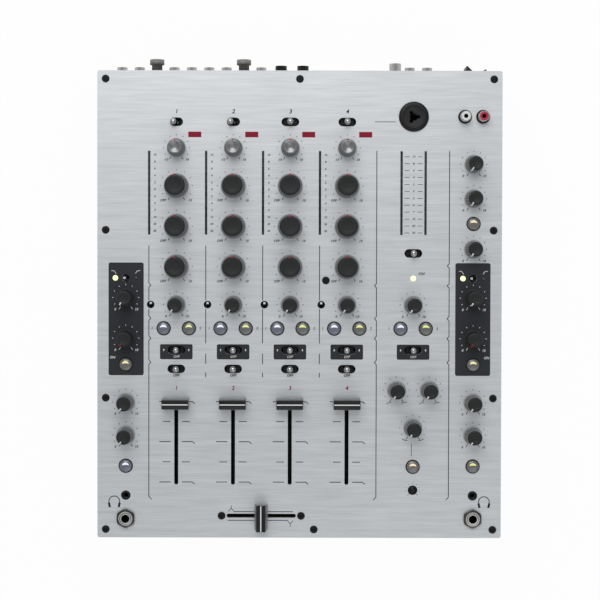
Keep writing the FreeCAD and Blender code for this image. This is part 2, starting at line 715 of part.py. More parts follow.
def cap_form():
    """A fader cap with sloping sides, a hollow top and the socket for its stem."""
    half = "dims.cap_length / 2"
    half_top = "dims.cap_top_length / 2"
    cap = drawn("cap_body", "YZ_Plane", (
        (f"-{half}", "0"),
        (half, "0"),
        (half_top, "dims.cap_height"),
        ("0", "dims.cap_height - dims.cap_dish"),
        (f"-{half_top}", "dims.cap_height")), "dims.cap_width", symmetric=True)
    socket = block("cap_socket", "dims.stem_thick + 2 * dims.fit_gap", "dims.stem_length + 2 * dims.fit_gap",
                   "dims.stem_socket + dims.end_gap", "0", "0", "0")
    return cut("cap_form", cap, [socket])


ROD_LEVEL = "-(dims.carriage_drop + dims.carriage_height / 2)"
CAP_SEAT = f"({PANEL_TOP} + dims.cap_lift)"
CROSS_X = f"(({channel(1)} + {channel(2)}) / 2)"
cap_shape = cap_form()
carriage_shape = carriage_form()
rail_shapes = {travel: (rail_form(travel, travel == "cross_travel"), guide_form(travel))
               for travel in ("fader_travel", "cross_travel")}
rails = []


def add_fader(label, travel, x, y, rest_y, turn):
    """A fader on its rail. The channel faders run front to rear, the crossfader from side to side."""
    rail, guide = rail_shapes[travel]
    start = f"- {rail_inside(travel)} / 2"
    level = f"{PANEL_UNDER} + {ROD_LEVEL}"
    rails.append(clone(f"{label}_rail", rail, x, y, PANEL_UNDER, turn))
    if turn is ACROSS:
        rails.append(clone(f"{label}_guide", guide, f"{x} {start}", y, level, SIDEWAYS))
    else:
        rails.append(clone(f"{label}_guide", guide, x, f"{y} {start}", level, REARWARD))
    cap = clone(f"{label}_cap", cap_shape, x, rest_y, CAP_SEAT, turn)
    carriage = clone(f"{label}_carriage", carriage_shape, x, rest_y, PANEL_UNDER, turn)
    keep(label, group(label, [cap, carriage]))


for number in CHANNELS:
    y = row("fader_row")
    add_fader(f"channel_{number + 1}_fader", "fader_travel", channel(number), y,
              f"({y} + dims.fader_travel / 2)", UPRIGHT)
add_fader("crossfader", "cross_travel", CROSS_X, row("crossfader_row"), row("crossfader_row"), ACROSS)
keep("fader_rails", group("fader_rails", rails))


# Meter windows and lamps

def window_form():
    """A meter window with a flange under the plate."""
    flange = "2 * dims.meter_flange"
    bar = block("window_bar", "dims.meter_width", "dims.meter_length", "dims.panel_thick + dims.meter_rise",
                "0", "0", "0")
    foot = block("window_foot", f"dims.meter_width + {flange}", f"dims.meter_length + {flange}",
                 "dims.meter_flange", "0", "0", "-dims.meter_flange")
    return fuse("window_form", bar, foot)


def lamp_form():
    """A lamp with a collar under the plate and a crowned tip."""
    tip = "(dims.panel_thick + dims.lamp_rise)"
    return turned("lamp_form", (
        ("0", "-dims.meter_flange"),
        ("dims.lamp_radius + dims.meter_flange", "-dims.meter_flange"),
        ("dims.lamp_radius + dims.meter_flange", "0"),
        ("dims.lamp_radius", "0"),
        ("dims.lamp_radius", "dims.panel_thick"),
        ("dims.lamp_radius / 2", tip),
        ("0", tip)))


meter_columns = [f"({channel(number)} - dims.meter_offset)" for number in CHANNELS]
meter_columns += [f"({MASTER_X} {sign} dims.meter_pair)" for sign in ("-", "+")]
lamp_spots = [(MASTER_X, row("power_lamp_row"))]
for name, sign in SIDES:
    lamp_spots += [(f"({side(sign)} {shift} dims.mode_lamp_offset)", row("mode_row")) for shift in ("-", "+")]
window, lamp = window_form(), lamp_form()
lights = [clone(f"meter_{index}", window, x, row("meter_row"), PANEL_UNDER) for index, x in enumerate(meter_columns)]
lights += [clone(f"lamp_{index}", lamp, x, y, PANEL_UNDER) for index, (x, y) in enumerate(lamp_spots)]
keep("meters_and_lamps", group("meters_and_lamps", lights))


# Sockets in the plate

def jack_form():
    """A jack socket with its bush, its body under the plate and the bore for the plug."""
    top = "(dims.panel_thick + dims.jack_rise)"
    foot = "-(dims.jack_shoulder + dims.jack_depth)"
    width = "2 * dims.jack_body"
    body = fuse("jack_whole",
                block("jack_case", width, width, "dims.jack_depth", "0", "0", foot),
                rod("jack_barrel", "dims.jack_bush", f"{top} + dims.jack_shoulder", "0", "0", "-dims.jack_shoulder"))
    bore = rod("jack_hole", "dims.jack_bore", f"{top} - ({foot}) - dims.jack_floor",
               "0", "0", f"{foot} + dims.jack_floor")
    return cut("jack_form", body, [bore])


def nut_form():
    nut = doc.addObject("Part::Prism", "nut_blank")
    nut.Polygon = 6
    nut.setExpression("Circumradius", "dims.jack_nut")
    nut.setExpression("Height", "dims.jack_nut_height")
    hole = rod("nut_hole", "dims.jack_bush + dims.fit_gap", "dims.jack_nut_height", "0", "0", "0")
    return cut("nut_form", nut, [hole])


def mini_form():
    foot = "-dims.mini_depth"
    width = "2 * dims.mini_body"
    body = fuse("mini_whole",
                block("mini_case", width, width, "dims.mini_depth", "0", "0", foot),
                rod("mini_barrel", "dims.mini_bush", "dims.panel_thick - dims.trim_drop", "0", "0", "0"))
    bore = rod("mini_hole", "dims.mini_bore", "dims.panel_thick + dims.mini_depth - dims.jack_floor",
               "0", "0", f"{foot} + dims.jack_floor")
    return cut("mini_form", body, [bore])


def phono_form():
    """A pin socket: flange and sleeve above its wall, barrel behind it."""
    return turned("phono_form", (
        ("dims.phono_bore", "-(dims.phono_depth - dims.jack_floor)"),
        ("dims.phono_bore", "dims.phono_rise"),
        ("dims.phono_sleeve", "dims.phono_rise"),
        ("dims.phono_sleeve", "dims.phono_seat"),
        ("dims.phono_flange", "dims.phono_seat"),
        ("dims.phono_flange", "0"),
        ("dims.phono_sleeve", "0"),
        ("dims.phono_sleeve", "-dims.phono_depth"),
        ("0", "-dims.phono_depth"),
        ("0", "-(dims.phono_depth - dims.jack_floor)")))


def combo_form():
    """A microphone socket that also takes a jack plug, with a ring groove round its face."""
    ring = "(dims.combo_radius + dims.combo_face) / 2"
    blank = turned("combo_blank", (
        ("0", "-dims.combo_depth"),
        ("dims.combo_body", "-dims.combo_depth"),
        ("dims.combo_body", "0"),
        ("dims.combo_radius", "0"),
        ("dims.combo_radius", "dims.combo_rise / 2"),
        (ring, "dims.combo_rise"),
        ("dims.combo_face", "dims.combo_rise"),
        ("dims.combo_face", "dims.combo_rise - dims.combo_groove"),
        ("0", "dims.combo_rise - dims.combo_groove")))
    depth = "(dims.combo_depth + dims.combo_rise - dims.jack_floor)"
    floor = "-(dims.combo_depth - dims.jack_floor)"
    tools = [rod("combo_bore", "dims.jack_bore", depth, "0", "0", floor)]
    for across, along in ((1, 0), (-0.5, 0.866), (-0.5, -0.866)):
        tools.append(rod("combo_contact", "dims.contact_radius", depth, f"{across} * dims.contact_circle",
                         f"{along} * dims.contact_circle", floor))
    return cut("combo_form", blank, tools)


jack, nut, mini, phono = jack_form(), nut_form(), mini_form(), phono_form()
record_spots = [(f"({side(1)} {sign} dims.record_pitch / 2)", row("record_row")) for sign in ("-", "+")]
sockets = [clone("microphone_socket", combo_form(), MASTER_X, row("record_row"), PANEL_TOP)]
for index, (x, y) in enumerate(record_spots):
    sockets.append(clone(f"record_socket_{index}", phono, x, y, PANEL_TOP))
for name, sign in SIDES:
    sockets.append(clone(f"{name}_jack", jack, side(sign), row("phone_jack_row"), PANEL_UNDER))
    sockets.append(clone(f"{name}_nut", nut, side(sign), row("phone_jack_row"), PANEL_TOP))
    sockets.append(clone(f"{name}_mini_jack", mini, side(sign), row("mini_jack_row"), PANEL_UNDER))
keep("top_sockets", group("top_sockets", sockets))


# Circuit boards, with the potentiometers and switches that stand on them, and the power supply

def board(name, left, right, front, rear):
    """A board between four edges, its top at the level that the controls stand on."""
    return block(name, f"({right}) - ({left})", f"({rear}) - ({front})", "dims.board_thick",
                 f"(({left}) + ({right})) / 2", f"(({front}) + ({rear})) / 2", f"{BOARD_TOP} - dims.board_thick")


def post(name, x, y):
    return rod(name, "dims.post_radius", "dims.board_drop", x, y, BOARD_TOP)


margin = "dims.board_margin"
edge = "dims.board_edge"
left_edge, right_edge = f"{side(-1)} - {margin}", f"{side(1)} + {margin}"
master_left, master_right = f"{MASTER_X} - dims.board_side - dims.board_gap", f"{MASTER_X} + dims.board_side"
low_front = f"{row('split_row')} - {edge}"
boards = [
    board("channel_board", left_edge, f"{channel(3)} + dims.board_side",
          f"{row('assign_row')} - {edge}", f"{row('selector_row')} + {edge}"),
    board("left_board", left_edge, f"{side(-1)} + {margin}", low_front, f"{row('source_row')} + {margin}"),
    board("master_board", master_left, master_right,
          f"{row('trim_row')} - {edge}", f"{row('meter_row')} + dims.meter_length / 2"),
    board("right_board", f"{master_right} + dims.board_gap", right_edge, low_front, f"{row('master_row')} + {margin}"),
]

between_channels = f"(({channel(0)} + {channel(1)}) / 2)"
between_knobs = f"(({row('source_row')} + {row('level_row')}) / 2)"
mid_screw = (column("dims.screw_mid_x"), row("screw_mid_y"))
post_spots = [
    (between_channels, row("low_row")),
    (between_channels, row("selector_row")),
    (f"(({channel(2)} + {channel(3)}) / 2)", row("selector_row")),
]
for sign in ("-", "+"):
    post_spots.append((f"({MASTER_X} {sign} dims.post_offset)", row("meter_row")))
    post_spots.append((f"({MASTER_X} {sign} dims.post_offset)", row("reverse_row")))
    post_spots.append((f"({side(-1)} {sign} dims.side_post_offset)", between_knobs))
    post_spots.append((f"({side(1)} {sign} dims.side_post_offset)", between_knobs))
posts = [post(f"board_post_{index}", x, y) for index, (x, y) in enumerate(post_spots)]
screw_bore = "(dims.screw_radius + dims.screw_gap)"
posts.append(cut("screw_post", post("screw_post_blank", *mid_screw),
                 [rod("screw_post_hole", screw_bore, "dims.board_drop", *mid_screw, BOARD_TOP)]))

pot, key, toggle = pot_form(), key_form(), toggle_form()
send_slider, mode_slider = slider_form("send_slider", "y"), slider_form("mode_slider", "x")
fittings = [clone(f"{label}_pot", pot, x, y, BOARD_TOP) for label, kind, x, y, angle in knobs]
fittings += [clone(f"button_switch_{index}", key, x, y, BOARD_TOP) for index, (x, y) in enumerate(buttons)]
for index, (x, alias, opening) in enumerate(toggles):
    fittings.append(clone(f"toggle_switch_{index}", toggle, x, row(alias), BOARD_TOP))
fittings += [clone(f"send_slider_{index}", send_slider, x, y, BOARD_TOP) for index, (x, y) in enumerate(send_spots)]
fittings += [clone(f"mode_slider_{index}", mode_slider, x, y, BOARD_TOP) for index, (x, y) in enumerate(mode_spots)]
trim_spot = (MASTER_X, row("trim_row"))
fittings.append(fuse("trimmer",
                     block("trimmer_case", "dims.pot_width", "dims.pot_width", "dims.pot_height", *trim_spot, BOARD_TOP),
                     rod("trimmer_shaft", "dims.trim_radius",
                         "dims.board_drop + dims.panel_thick - dims.trim_drop", *trim_spot, BOARD_TOP)))
transformer_spot = (column("dims.transformer_x"), row("transformer_y"))
transformer = cut("transformer",
                  rod("transformer_core", "dims.transformer_radius", "dims.transformer_height",
                      *transformer_spot, FLOOR_TOP),
                  [rod("transformer_hole", "dims.transformer_eye", "dims.transformer_height",
                       *transformer_spot, FLOOR_TOP)])
keep("circuit_boards", group("circuit_boards", boards + posts + fittings + [transformer]))


# Rear wall: sockets, ground posts, lamp socket, mains inlet and mains switch

def barrel_form(name, bore, ring, ring_length, barrel, reach, behind):
    """A bored barrel through the wall with a ring nut outside and a body behind it."""
    floor = "-(dims.rear_depth - dims.jack_floor)"
    return turned(name, (
        (bore, floor), (bore, reach), (barrel, reach), (barrel, ring_length), (ring, ring_length),
        (ring, "0"), (behind, "0"), (behind, "-dims.rear_depth"), ("0", "-dims.rear_depth"), ("0", floor)))


def ground_form():
    """A ground post with its thumb nut."""
    nut = "(dims.post_length - dims.post_head_length)"
    return turned("ground_form", (
        ("0", "-dims.phono_depth"), ("dims.screw_radius", "-dims.phono_depth"), ("dims.screw_radius", "0"),
        ("dims.post_neck", "0"), ("dims.post_neck", nut), ("dims.post_head", nut),
        ("dims.post_head", "dims.post_length"), ("0", "dims.post_length")))


def wall_hole(name, radius, x, z):
    """A hole through the rear wall."""
    return rod(name, f"({radius}) + dims.rear_gap", "3 * dims.steel_sheet", x,
               f"{REAR_FACE} - 2 * dims.steel_sheet", z, REARWARD)


send_jack = barrel_form("send_jack_form", "dims.jack_bore", "dims.send_jack_nut", "dims.send_jack_ring",
                        "dims.jack_bush", "dims.send_jack_reach", "dims.jack_bush")
lamp_socket = barrel_form("lamp_socket_form", "dims.lamp_socket_bore", "dims.lamp_socket_base",
                          "dims.send_jack_ring", "dims.lamp_socket_radius", "dims.lamp_socket_reach",
                          "dims.lamp_socket_radius")
ground = ground_form()
UPPER, LOWER = "dims.rear_upper", "dims.rear_lower"
PHONO_STEPS, GROUND_STEPS, DIGITAL_STEPS = (0, 1, 3, 4, 5, 6, 8), (2, 7), (0, 1)
LAMP_SOCKET_X = column("dims.lamp_socket_x")
DIGITAL_X = f"({LAMP_SOCKET_X} + dims.digital_first - dims.lamp_socket_x)"


def rear_column(step):
    return column(f"dims.rear_first + {step} * dims.rear_pitch")


rear_fittings = []
for step in PHONO_STEPS:
    rear_fittings += [(phono, "dims.phono_sleeve", rear_column(step), z)
                      for z in (UPPER, LOWER)]
for step in DIGITAL_STEPS:
    rear_fittings += [(phono, "dims.phono_sleeve", f"({DIGITAL_X} + {step} * dims.rear_pitch)", z)
                      for z in (UPPER, LOWER)]
for step in GROUND_STEPS:
    rear_fittings.append((ground, "dims.screw_radius", rear_column(step), UPPER))
for step in (0, 1):
    rear_fittings += [(send_jack, "dims.jack_bush", column(f"dims.send_jack_first + {step} * dims.send_jack_pitch"), z)
                      for z in (UPPER, LOWER)]
rear_fittings.append((lamp_socket, "dims.lamp_socket_radius", LAMP_SOCKET_X, UPPER))
rear_sockets = [clone(f"rear_socket_{index}", form, x, REAR_FACE, z, REARWARD)
                for index, (form, radius, x, z) in enumerate(rear_fittings)]
wall_holes = [wall_hole(f"rear_hole_{index}", radius, x, z)
              for index, (form, radius, x, z) in enumerate(rear_fittings)]

MAINS_X = column("dims.mains_x")
MAINS_FRONT = f"({REAR_FACE} + dims.mains_flange)"


def wall_block(name, width, height, back, front, z):
    """A box centred on the mains column and on z, between two depths."""
    return block(name, width, f"({front}) - ({back})", height, MAINS_X, f"(({back}) + ({front})) / 2",
                 f"{z} - ({height}) / 2")


def inlet():
    """A mains inlet: flange, box with a recess that has two cut corners, and three blades."""
    z = "dims.mains_inlet_z"
    wide, tall = "dims.inlet_width / 2", "dims.inlet_height / 2"
    floor = f"({MAINS_FRONT} - dims.inlet_depth)"
    body = fuse("inlet_body",
                wall_block("inlet_flange", "dims.mains_width", "dims.mains_height", REAR_FACE, MAINS_FRONT, z),
                wall_block("inlet_box", INLET_WIDTH, INLET_HEIGHT, f"{floor} - dims.inlet_wall", REAR_FACE, z))
    recess = drawn("inlet_recess", "XZ_Plane", (
        (f"-{wide}", f"-{tall}"),
        (wide, f"-{tall}"),
        (wide, f"{tall} - dims.inlet_corner"),
        (f"{wide} - dims.inlet_corner", tall),
        (f"-{wide} + dims.inlet_corner", tall),
        (f"-{wide}", f"{tall} - dims.inlet_corner")), "dims.inlet_depth")
    place(recess, MAINS_X, MAINS_FRONT, z)
    blades = []
    for step, lift in ((-1, 0), (0, 1), (1, 0)):
        blade = block("inlet_blade", "dims.blade_thick", "dims.inlet_depth - dims.blade_setback",
                      "dims.blade_width", f"{MAINS_X} + {step} * dims.blade_pitch",
                      f"{floor} + (dims.inlet_depth - dims.blade_setback) / 2",
                      f"{z} - dims.blade_width / 2 + {lift} * dims.blade_step")
        blades.append(blade)
    return [cut("mains_inlet", body, [recess])] + blades


INLET_WIDTH = "(dims.inlet_width + 2 * dims.inlet_wall)"
INLET_HEIGHT = "(dims.inlet_height + 2 * dims.inlet_wall)"
ROCKER_Z = "dims.mains_switch_z"
ROCKER_HOLE = [f"(dims.rocker_{size} + 2 * dims.rocker_gap)" for size in ("width", "height")]
ROCKER_BOX = [f"({size} + dims.rocker_frame)" for size in ROCKER_HOLE]


def switch_frame():
    """The mains switch's frame and box, with the bearing holes of the rocker's axle."""
    flange = [f"{size} + dims.rocker_frame" for size in ROCKER_BOX]
    back = f"({REAR_FACE} - dims.rocker_depth)"
    body = fuse("switch_body",
                wall_block("switch_flange", *flange, REAR_FACE, MAINS_FRONT, ROCKER_Z),
                wall_block("switch_box", *ROCKER_BOX, back, REAR_FACE, ROCKER_Z))
    hollow = wall_block("switch_hollow", *ROCKER_HOLE, f"{back} + dims.jack_floor", MAINS_FRONT, ROCKER_Z)
    length = f"({ROCKER_HOLE[1]} + dims.rocker_frame)"
    bearing = rod("switch_bearing", "dims.rocker_axle + dims.fit_gap", length, MAINS_X, ROCKER_PIVOT,
                  f"{ROCKER_Z} - {length} / 2")
    return cut("mains_switch", body, [hollow, bearing])


def rocker_form():
    """A rocker with two raised wings, a valley between them and its axle."""
    half = "dims.rocker_width / 2"
    paddle = drawn("rocker_paddle", "XY_Plane", (
        (f"-{half}", "-dims.rocker_proud"),
        (half, "-dims.rocker_proud"),
        (half, "dims.rocker_proud + dims.rocker_axle"),
        ("0", "dims.rocker_valley + dims.rocker_axle"),
        (f"-{half}", "dims.rocker_proud + dims.rocker_axle")), "dims.rocker_height", symmetric=True)
    length = "(dims.rocker_height + 2 * dims.rocker_gap + dims.rocker_frame - 2 * dims.end_gap)"
    axle = rod("rocker_pin", "dims.rocker_axle", length, "0", "0", f"-{length} / 2")
    return fuse("rocker_form", paddle, axle)


ROCKER_PIVOT = f"({REAR_FACE} - dims.rocker_axle)"
keep("mains_rocker", clone("mains_rocker", rocker_form(), MAINS_X, ROCKER_PIVOT, ROCKER_Z, CLOCKWISE,
                           "dims.rocker_swing"))
keep("rear_sockets", group("rear_sockets", rear_sockets + inlet() + [switch_frame()]))


# Screws

def screw_form():
    """A button head screw, its head standing on height zero."""
    return turned("screw_form", (
        ("0", "-dims.screw_reach"),
        ("dims.screw_radius", "-dims.screw_reach"),
        ("dims.screw_radius", "0"),
        ("dims.screw_head_radius", "0"),
        ("dims.screw_head_radius", "dims.screw_head_height / 3"),
        ("dims.screw_head_radius * 2 / 3", "dims.screw_head_height"),
        ("0", "dims.screw_head_height")))


edge_x = "(dims.panel_width / 2 - dims.screw_edge)"
edge_y = "(dims.panel_depth / 2 - dims.screw_edge)"
front_y, rear_y = f"({PANEL_Y} - {edge_y})", f"({PANEL_Y} + {edge_y})"
lip_screws = [("0", rear_y), ("dims.screw_front_x", front_y)]
for sign in ("-", "+"):
    lip_screws += [(f"{sign} {edge_x}", y)
                   for y in (front_y, rear_y, row("screw_rear_row"), row("screw_front_row"))]
rail_screws = [(f"({CROSS_X} {sign} {screw_reach('cross_travel')})", row("crossfader_row")) for sign in ("-", "+")]
plate_screws = lip_screws + rail_screws + [mid_screw]
screw = screw_form()
keep("plate_screws", group("plate_screws", [clone(f"plate_screw_{index}", screw, x, y, PANEL_TOP)
                                            for index, (x, y) in enumerate(plate_screws)]))


# Tray: folded steel with a lip under the plate

def tray_block(name, inset, z, height):
    """A box as wide and deep as the plate less an inset on every side."""
    return block(name, f"dims.panel_width - 2 * ({inset})", f"dims.panel_depth - 2 * ({inset})", height,
                 "0", PANEL_Y, z)


wall_inside = "dims.tray_inset + dims.steel_sheet"
lip_inside = "dims.tray_inset + dims.lip_width"
tray_cuts = [
    tray_block("tray_hollow", wall_inside, FLOOR_TOP, "dims.tray_height - 2 * dims.steel_sheet"),
    tray_block("tray_mouth", lip_inside, FLOOR_TOP, "dims.tray_height"),
]
tray_cuts += [rod(f"lip_hole_{index}", screw_bore, "2 * dims.steel_sheet", x, y,
                  f"{PANEL_UNDER} - 3 / 2 * dims.steel_sheet") for index, (x, y) in enumerate(lip_screws)]
tray_cuts += wall_holes
wall_gap = "2 * dims.rear_gap"
wall_back, wall_front = f"{REAR_FACE} - 2 * dims.steel_sheet", f"{REAR_FACE} + dims.steel_sheet"
tray_cuts.append(wall_block("inlet_opening", f"{INLET_WIDTH} + {wall_gap}", f"{INLET_HEIGHT} + {wall_gap}",
                            wall_back, wall_front, "dims.mains_inlet_z"))
tray_cuts.append(wall_block("switch_opening", *[f"{size} + {wall_gap}" for size in ROCKER_BOX],
                            wall_back, wall_front, ROCKER_Z))
tray_blank = tray_block("tray_blank", "dims.tray_inset", "dims.foot_height", "dims.tray_height")
keep("base_tray", cut("base_tray", tray_blank, tray_cuts))


# Rubber feet

foot_form = turned("foot_form", (
    ("0", "0"),
    ("dims.foot_radius - dims.foot_taper", "0"),
    ("dims.foot_radius", "dims.foot_height"),
    ("0", "dims.foot_height")))
feet = []
for across in ("-", "+"):
    for along in ("-", "+"):
        x = f"{across} (dims.panel_width / 2 - dims.foot_inset)"
        y = f"{PANEL_Y} {along} (dims.panel_depth / 2 - dims.foot_inset)"
        feet.append(clone("rubber_foot", foot_form, x, y, "0"))
keep("rubber_feet", group("rubber_feet", feet))


# Top plate with every opening

def plate_blank():
    """The plate with rounded corners, its underside at height zero."""
    wide, deep = "dims.panel_width / 2", "dims.panel_depth / 2"
    body = drawn("plate_blank", "XY_Plane", (
        (f"-{wide}", f"-{deep}"), (wide, f"-{deep}"), (wide, deep), (f"-{wide}", deep)), "dims.panel_thick")
    doc.recompute()
    pad = body.Tip
    upright = [f"Edge{index}" for index, line in enumerate(pad.Shape.Edges, 1)
               if abs(line.Vertexes[0].Z - line.Vertexes[-1].Z) > 0]
    corners = body.newObject("PartDesign::Fillet", "plate_corners")
    corners.Base = (pad, upright)
    corners.setExpression("Radius", "dims.panel_corner")
    return place(body, "0", PANEL_Y, PANEL_UNDER)


CUT_FOOT = f"({PANEL_UNDER} - dims.panel_thick)"
CUT_DEEP = "3 * dims.panel_thick"


def plate_hole(name, radius, x, y):
    return rod(name, radius, CUT_DEEP, x, y, CUT_FOOT)


def plate_openings():
    """Every hole and slot of the plate, each from the size of what goes through it."""
    holes = [(screw_bore, x, y) for x, y in plate_screws]
    holes += [("dims.shaft_radius + dims.shaft_hole_gap", x, y) for label, kind, x, y, angle in knobs]
    holes += [("dims.button_radius + dims.button_gap", x, y) for x, y in buttons]
    holes += [("dims.slider_hole", x, y) for x, y in send_spots + mode_spots]
    holes += [("dims.lamp_radius + dims.window_gap", x, y) for x, y in lamp_spots]
    holes += [("dims.phono_sleeve + dims.rear_gap", x, y) for x, y in record_spots]
    holes.append(("dims.combo_body + dims.rear_gap", MASTER_X, row("record_row")))
    holes.append(("dims.trim_radius + dims.rear_gap", *trim_spot))
    for name, sign in SIDES:
        holes.append(("dims.jack_bush + dims.rear_gap", side(sign), row("phone_jack_row")))
        holes.append(("dims.mini_bush + dims.rear_gap", side(sign), row("mini_jack_row")))
    tools = [plate_hole(f"plate_hole_{index}", *hole) for index, hole in enumerate(holes)]
    for index, (x, alias, opening) in enumerate(toggles):
        tools.append(slot(f"toggle_opening_{index}", f"dims.{opening}", "dims.opening_width", CUT_DEEP,
                          x, row(alias), CUT_FOOT))
    for index, x in enumerate(meter_columns):
        tools.append(block(f"meter_opening_{index}", "dims.meter_width + 2 * dims.window_gap",
                           "dims.meter_length + 2 * dims.window_gap", CUT_DEEP, x, row("meter_row"), CUT_FOOT))
    reach = "dims.stem_length + 2 * dims.slot_play"
    for number in CHANNELS:
        tools.append(slot(f"fader_slot_{number}", f"dims.fader_travel + {reach}", "dims.slot_width", CUT_DEEP,
                          channel(number), row("fader_row"), CUT_FOOT, along="y"))
    tools.append(slot("cross_slot", f"dims.cross_travel + {reach}", "dims.slot_width", CUT_DEEP,
                      CROSS_X, row("crossfader_row"), CUT_FOOT))
    return tools


keep("top_plate", cut("top_plate", plate_blank(), plate_openings()))


# Check every object, then write each sub-part

doc.recompute()
failed = [thing.Name for thing in doc.Objects if "Invalid" in thing.State or "Error" in thing.State]
failed += [label for label, thing in nodes.items() if thing.Shape.isNull() or not thing.Shape.isValid()]
if failed:
    raise RuntimeError(f"not built: {failed}")
os.makedirs("parts", exist_ok=True)
for label, thing in nodes.items():
    thing.Shape.exportStep(os.path.join("parts", f"{label}.step"))
print(len(nodes), "sub-parts,", sum(len(thing.Shape.Solids) for thing in nodes.values()), "solids")
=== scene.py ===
import json
import math
import bmesh
import bpy
from mathutils import Matrix, Vector


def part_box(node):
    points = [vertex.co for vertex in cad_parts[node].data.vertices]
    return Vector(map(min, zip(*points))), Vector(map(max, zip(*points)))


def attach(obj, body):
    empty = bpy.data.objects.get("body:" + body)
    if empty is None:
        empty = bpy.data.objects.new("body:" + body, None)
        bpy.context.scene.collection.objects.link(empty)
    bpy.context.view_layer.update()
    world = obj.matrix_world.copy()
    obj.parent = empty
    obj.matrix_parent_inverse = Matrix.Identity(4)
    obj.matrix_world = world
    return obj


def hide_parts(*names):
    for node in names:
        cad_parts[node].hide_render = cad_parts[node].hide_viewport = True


# Four channel club mixer: the finish of every surface, the printing, and the controls in full detail.
# Rows are in millimetres from the middle of the plate, towards the rear. Columns come from the frame.

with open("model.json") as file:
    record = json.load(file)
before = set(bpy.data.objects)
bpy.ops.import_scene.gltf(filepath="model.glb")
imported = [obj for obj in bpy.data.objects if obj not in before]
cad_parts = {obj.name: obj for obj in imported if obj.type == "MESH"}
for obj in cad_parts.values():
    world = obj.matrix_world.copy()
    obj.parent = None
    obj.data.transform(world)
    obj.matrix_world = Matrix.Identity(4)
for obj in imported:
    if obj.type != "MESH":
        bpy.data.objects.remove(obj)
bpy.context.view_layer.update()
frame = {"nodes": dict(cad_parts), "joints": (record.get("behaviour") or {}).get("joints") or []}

MM = 0.001
PRINT = 0.05 * MM
PLATE_LOW, PLATE_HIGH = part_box("top_plate")
PLATE_TOP = PLATE_HIGH.z
PLATE_Y = (PLATE_LOW.y + PLATE_HIGH.y) / 2
REAR_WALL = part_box("base_tray")[1].y
AXLES = {joint["child"]: Vector(joint["pos_m"]) for joint in frame["joints"] if joint["type"] == "hinge"}
CHANNELS = (1, 2, 3, 4)
CHANNEL_X = [AXLES[f"channel_{number}_gain_knob"].x for number in CHANNELS]
MASTER_X = AXLES["return_knob"].x
SIDE_X = AXLES["master_knob"].x
SIDES = (("left", -1), ("right", 1))

CUE_ROW, CUE_OFFSET = -18.8, 10
FILTER_ON_ROW, SPLIT_ROW, MONO_ROW, REVERSE_ROW = -47.5, -128, 64.2, -128.4
FILTER_ROW, ASSIGN_ROW = -36, -51
MODE_ROW, MODE_LAMP = 21, 8.2
TRIM_ROW, RECORD_ROW, JACK_ROW = -147, 148.8, -169.6
LIT_X = (MASTER_X, SIDE_X - MODE_LAMP * MM, -SIDE_X - MODE_LAMP * MM)


def row(millimetres):
    """A row of the plate as a world Y."""
    return PLATE_Y + millimetres * MM


# Materials

FINE_GRAIN, BROAD_GRAIN, GRAIN_DEPTH = 900, 60, 0.05 * MM
GLOSS_SPREAD, LEAST_ROUGH, COAT_ROUGH = 0.07, 0.02, 0.08


def shader_of(name):
    """A new material with its node tree, its surface shader and its object coordinates."""
    material = bpy.data.materials.new(name)
    material.use_nodes = True
    tree = material.node_tree
    place = tree.nodes.new("ShaderNodeTexCoord").outputs["Object"]
    return material, tree, tree.nodes["Principled BSDF"], place


def wire(node, inputs):
    """Set a node's inputs, each to a constant or to the output of another node."""
    for name, value in inputs.items():
        if isinstance(value, bpy.types.NodeSocket):
            node.id_data.links.new(value, node.inputs[name])
        else:
            node.inputs[name].default_value = value
    return node


def noise(tree, place, scale, stretch=(1, 1, 1), detail=4):
    """A noise pattern in object space, drawn out along an axis by a small stretch."""
    mapping = wire(tree.nodes.new("ShaderNodeMapping"), {"Vector": place, "Scale": stretch})
    spot = mapping.outputs["Vector"]
    pattern = wire(tree.nodes.new("ShaderNodeTexNoise"), {"Vector": spot, "Scale": scale, "Detail": detail})
    return pattern.outputs["Fac"]


def ramp(tree, value, low, high, start=0.3, end=0.7):
    """A colour between two ends of a value."""
    colours = wire(tree.nodes.new("ShaderNodeValToRGB"), {"Fac": value})
    for element, position, colour in zip(colours.color_ramp.elements, (start, end), (low, high)):
        element.position = position
        element.color = (*colour, 1)
    return colours.outputs["Color"]


def level(tree, value, low, high):
    """A number between two ends of a value."""
    span = wire(tree.nodes.new("ShaderNodeMapRange"), {"Value": value, "To Min": low, "To Max": high})
    return span.outputs["Result"]


def bump(tree, value, strength, depth):
    """A surface's normal, raised by a value."""
    relief = tree.nodes.new("ShaderNodeBump")
    wire(relief, {"Height": value, "Strength": strength, "Distance": depth})
    return relief.outputs["Normal"]


def finish(name, colour, rough, metal=0, spread=0.15, grain=FINE_GRAIN, relief=0.08, coat=0, glow=0,
           shine=0.5, stretch=(1, 1, 1)):
    """A moulded, plated or painted surface: colour and gloss vary a little, over a fine grain."""
    material, tree, shader, place = shader_of(name)
    pattern = noise(tree, place, grain, stretch)
    dark = [part * (1 - spread) for part in colour]
    light = [min(part * (1 + spread), 1) for part in colour]
    least, most = max(rough - GLOSS_SPREAD, LEAST_ROUGH), rough + GLOSS_SPREAD
    wire(shader, {
        "Base Color": ramp(tree, pattern, dark, light),
        "Roughness": level(tree, noise(tree, place, BROAD_GRAIN), least, most),
        "Normal": bump(tree, pattern, relief, GRAIN_DEPTH),
        "Metallic": metal, "Specular IOR Level": shine, "Coat Weight": coat, "Coat Roughness": COAT_ROUGH,
    })
    if glow:
        wire(shader, {"Emission Color": (*colour, 1), "Emission Strength": glow})
    return material


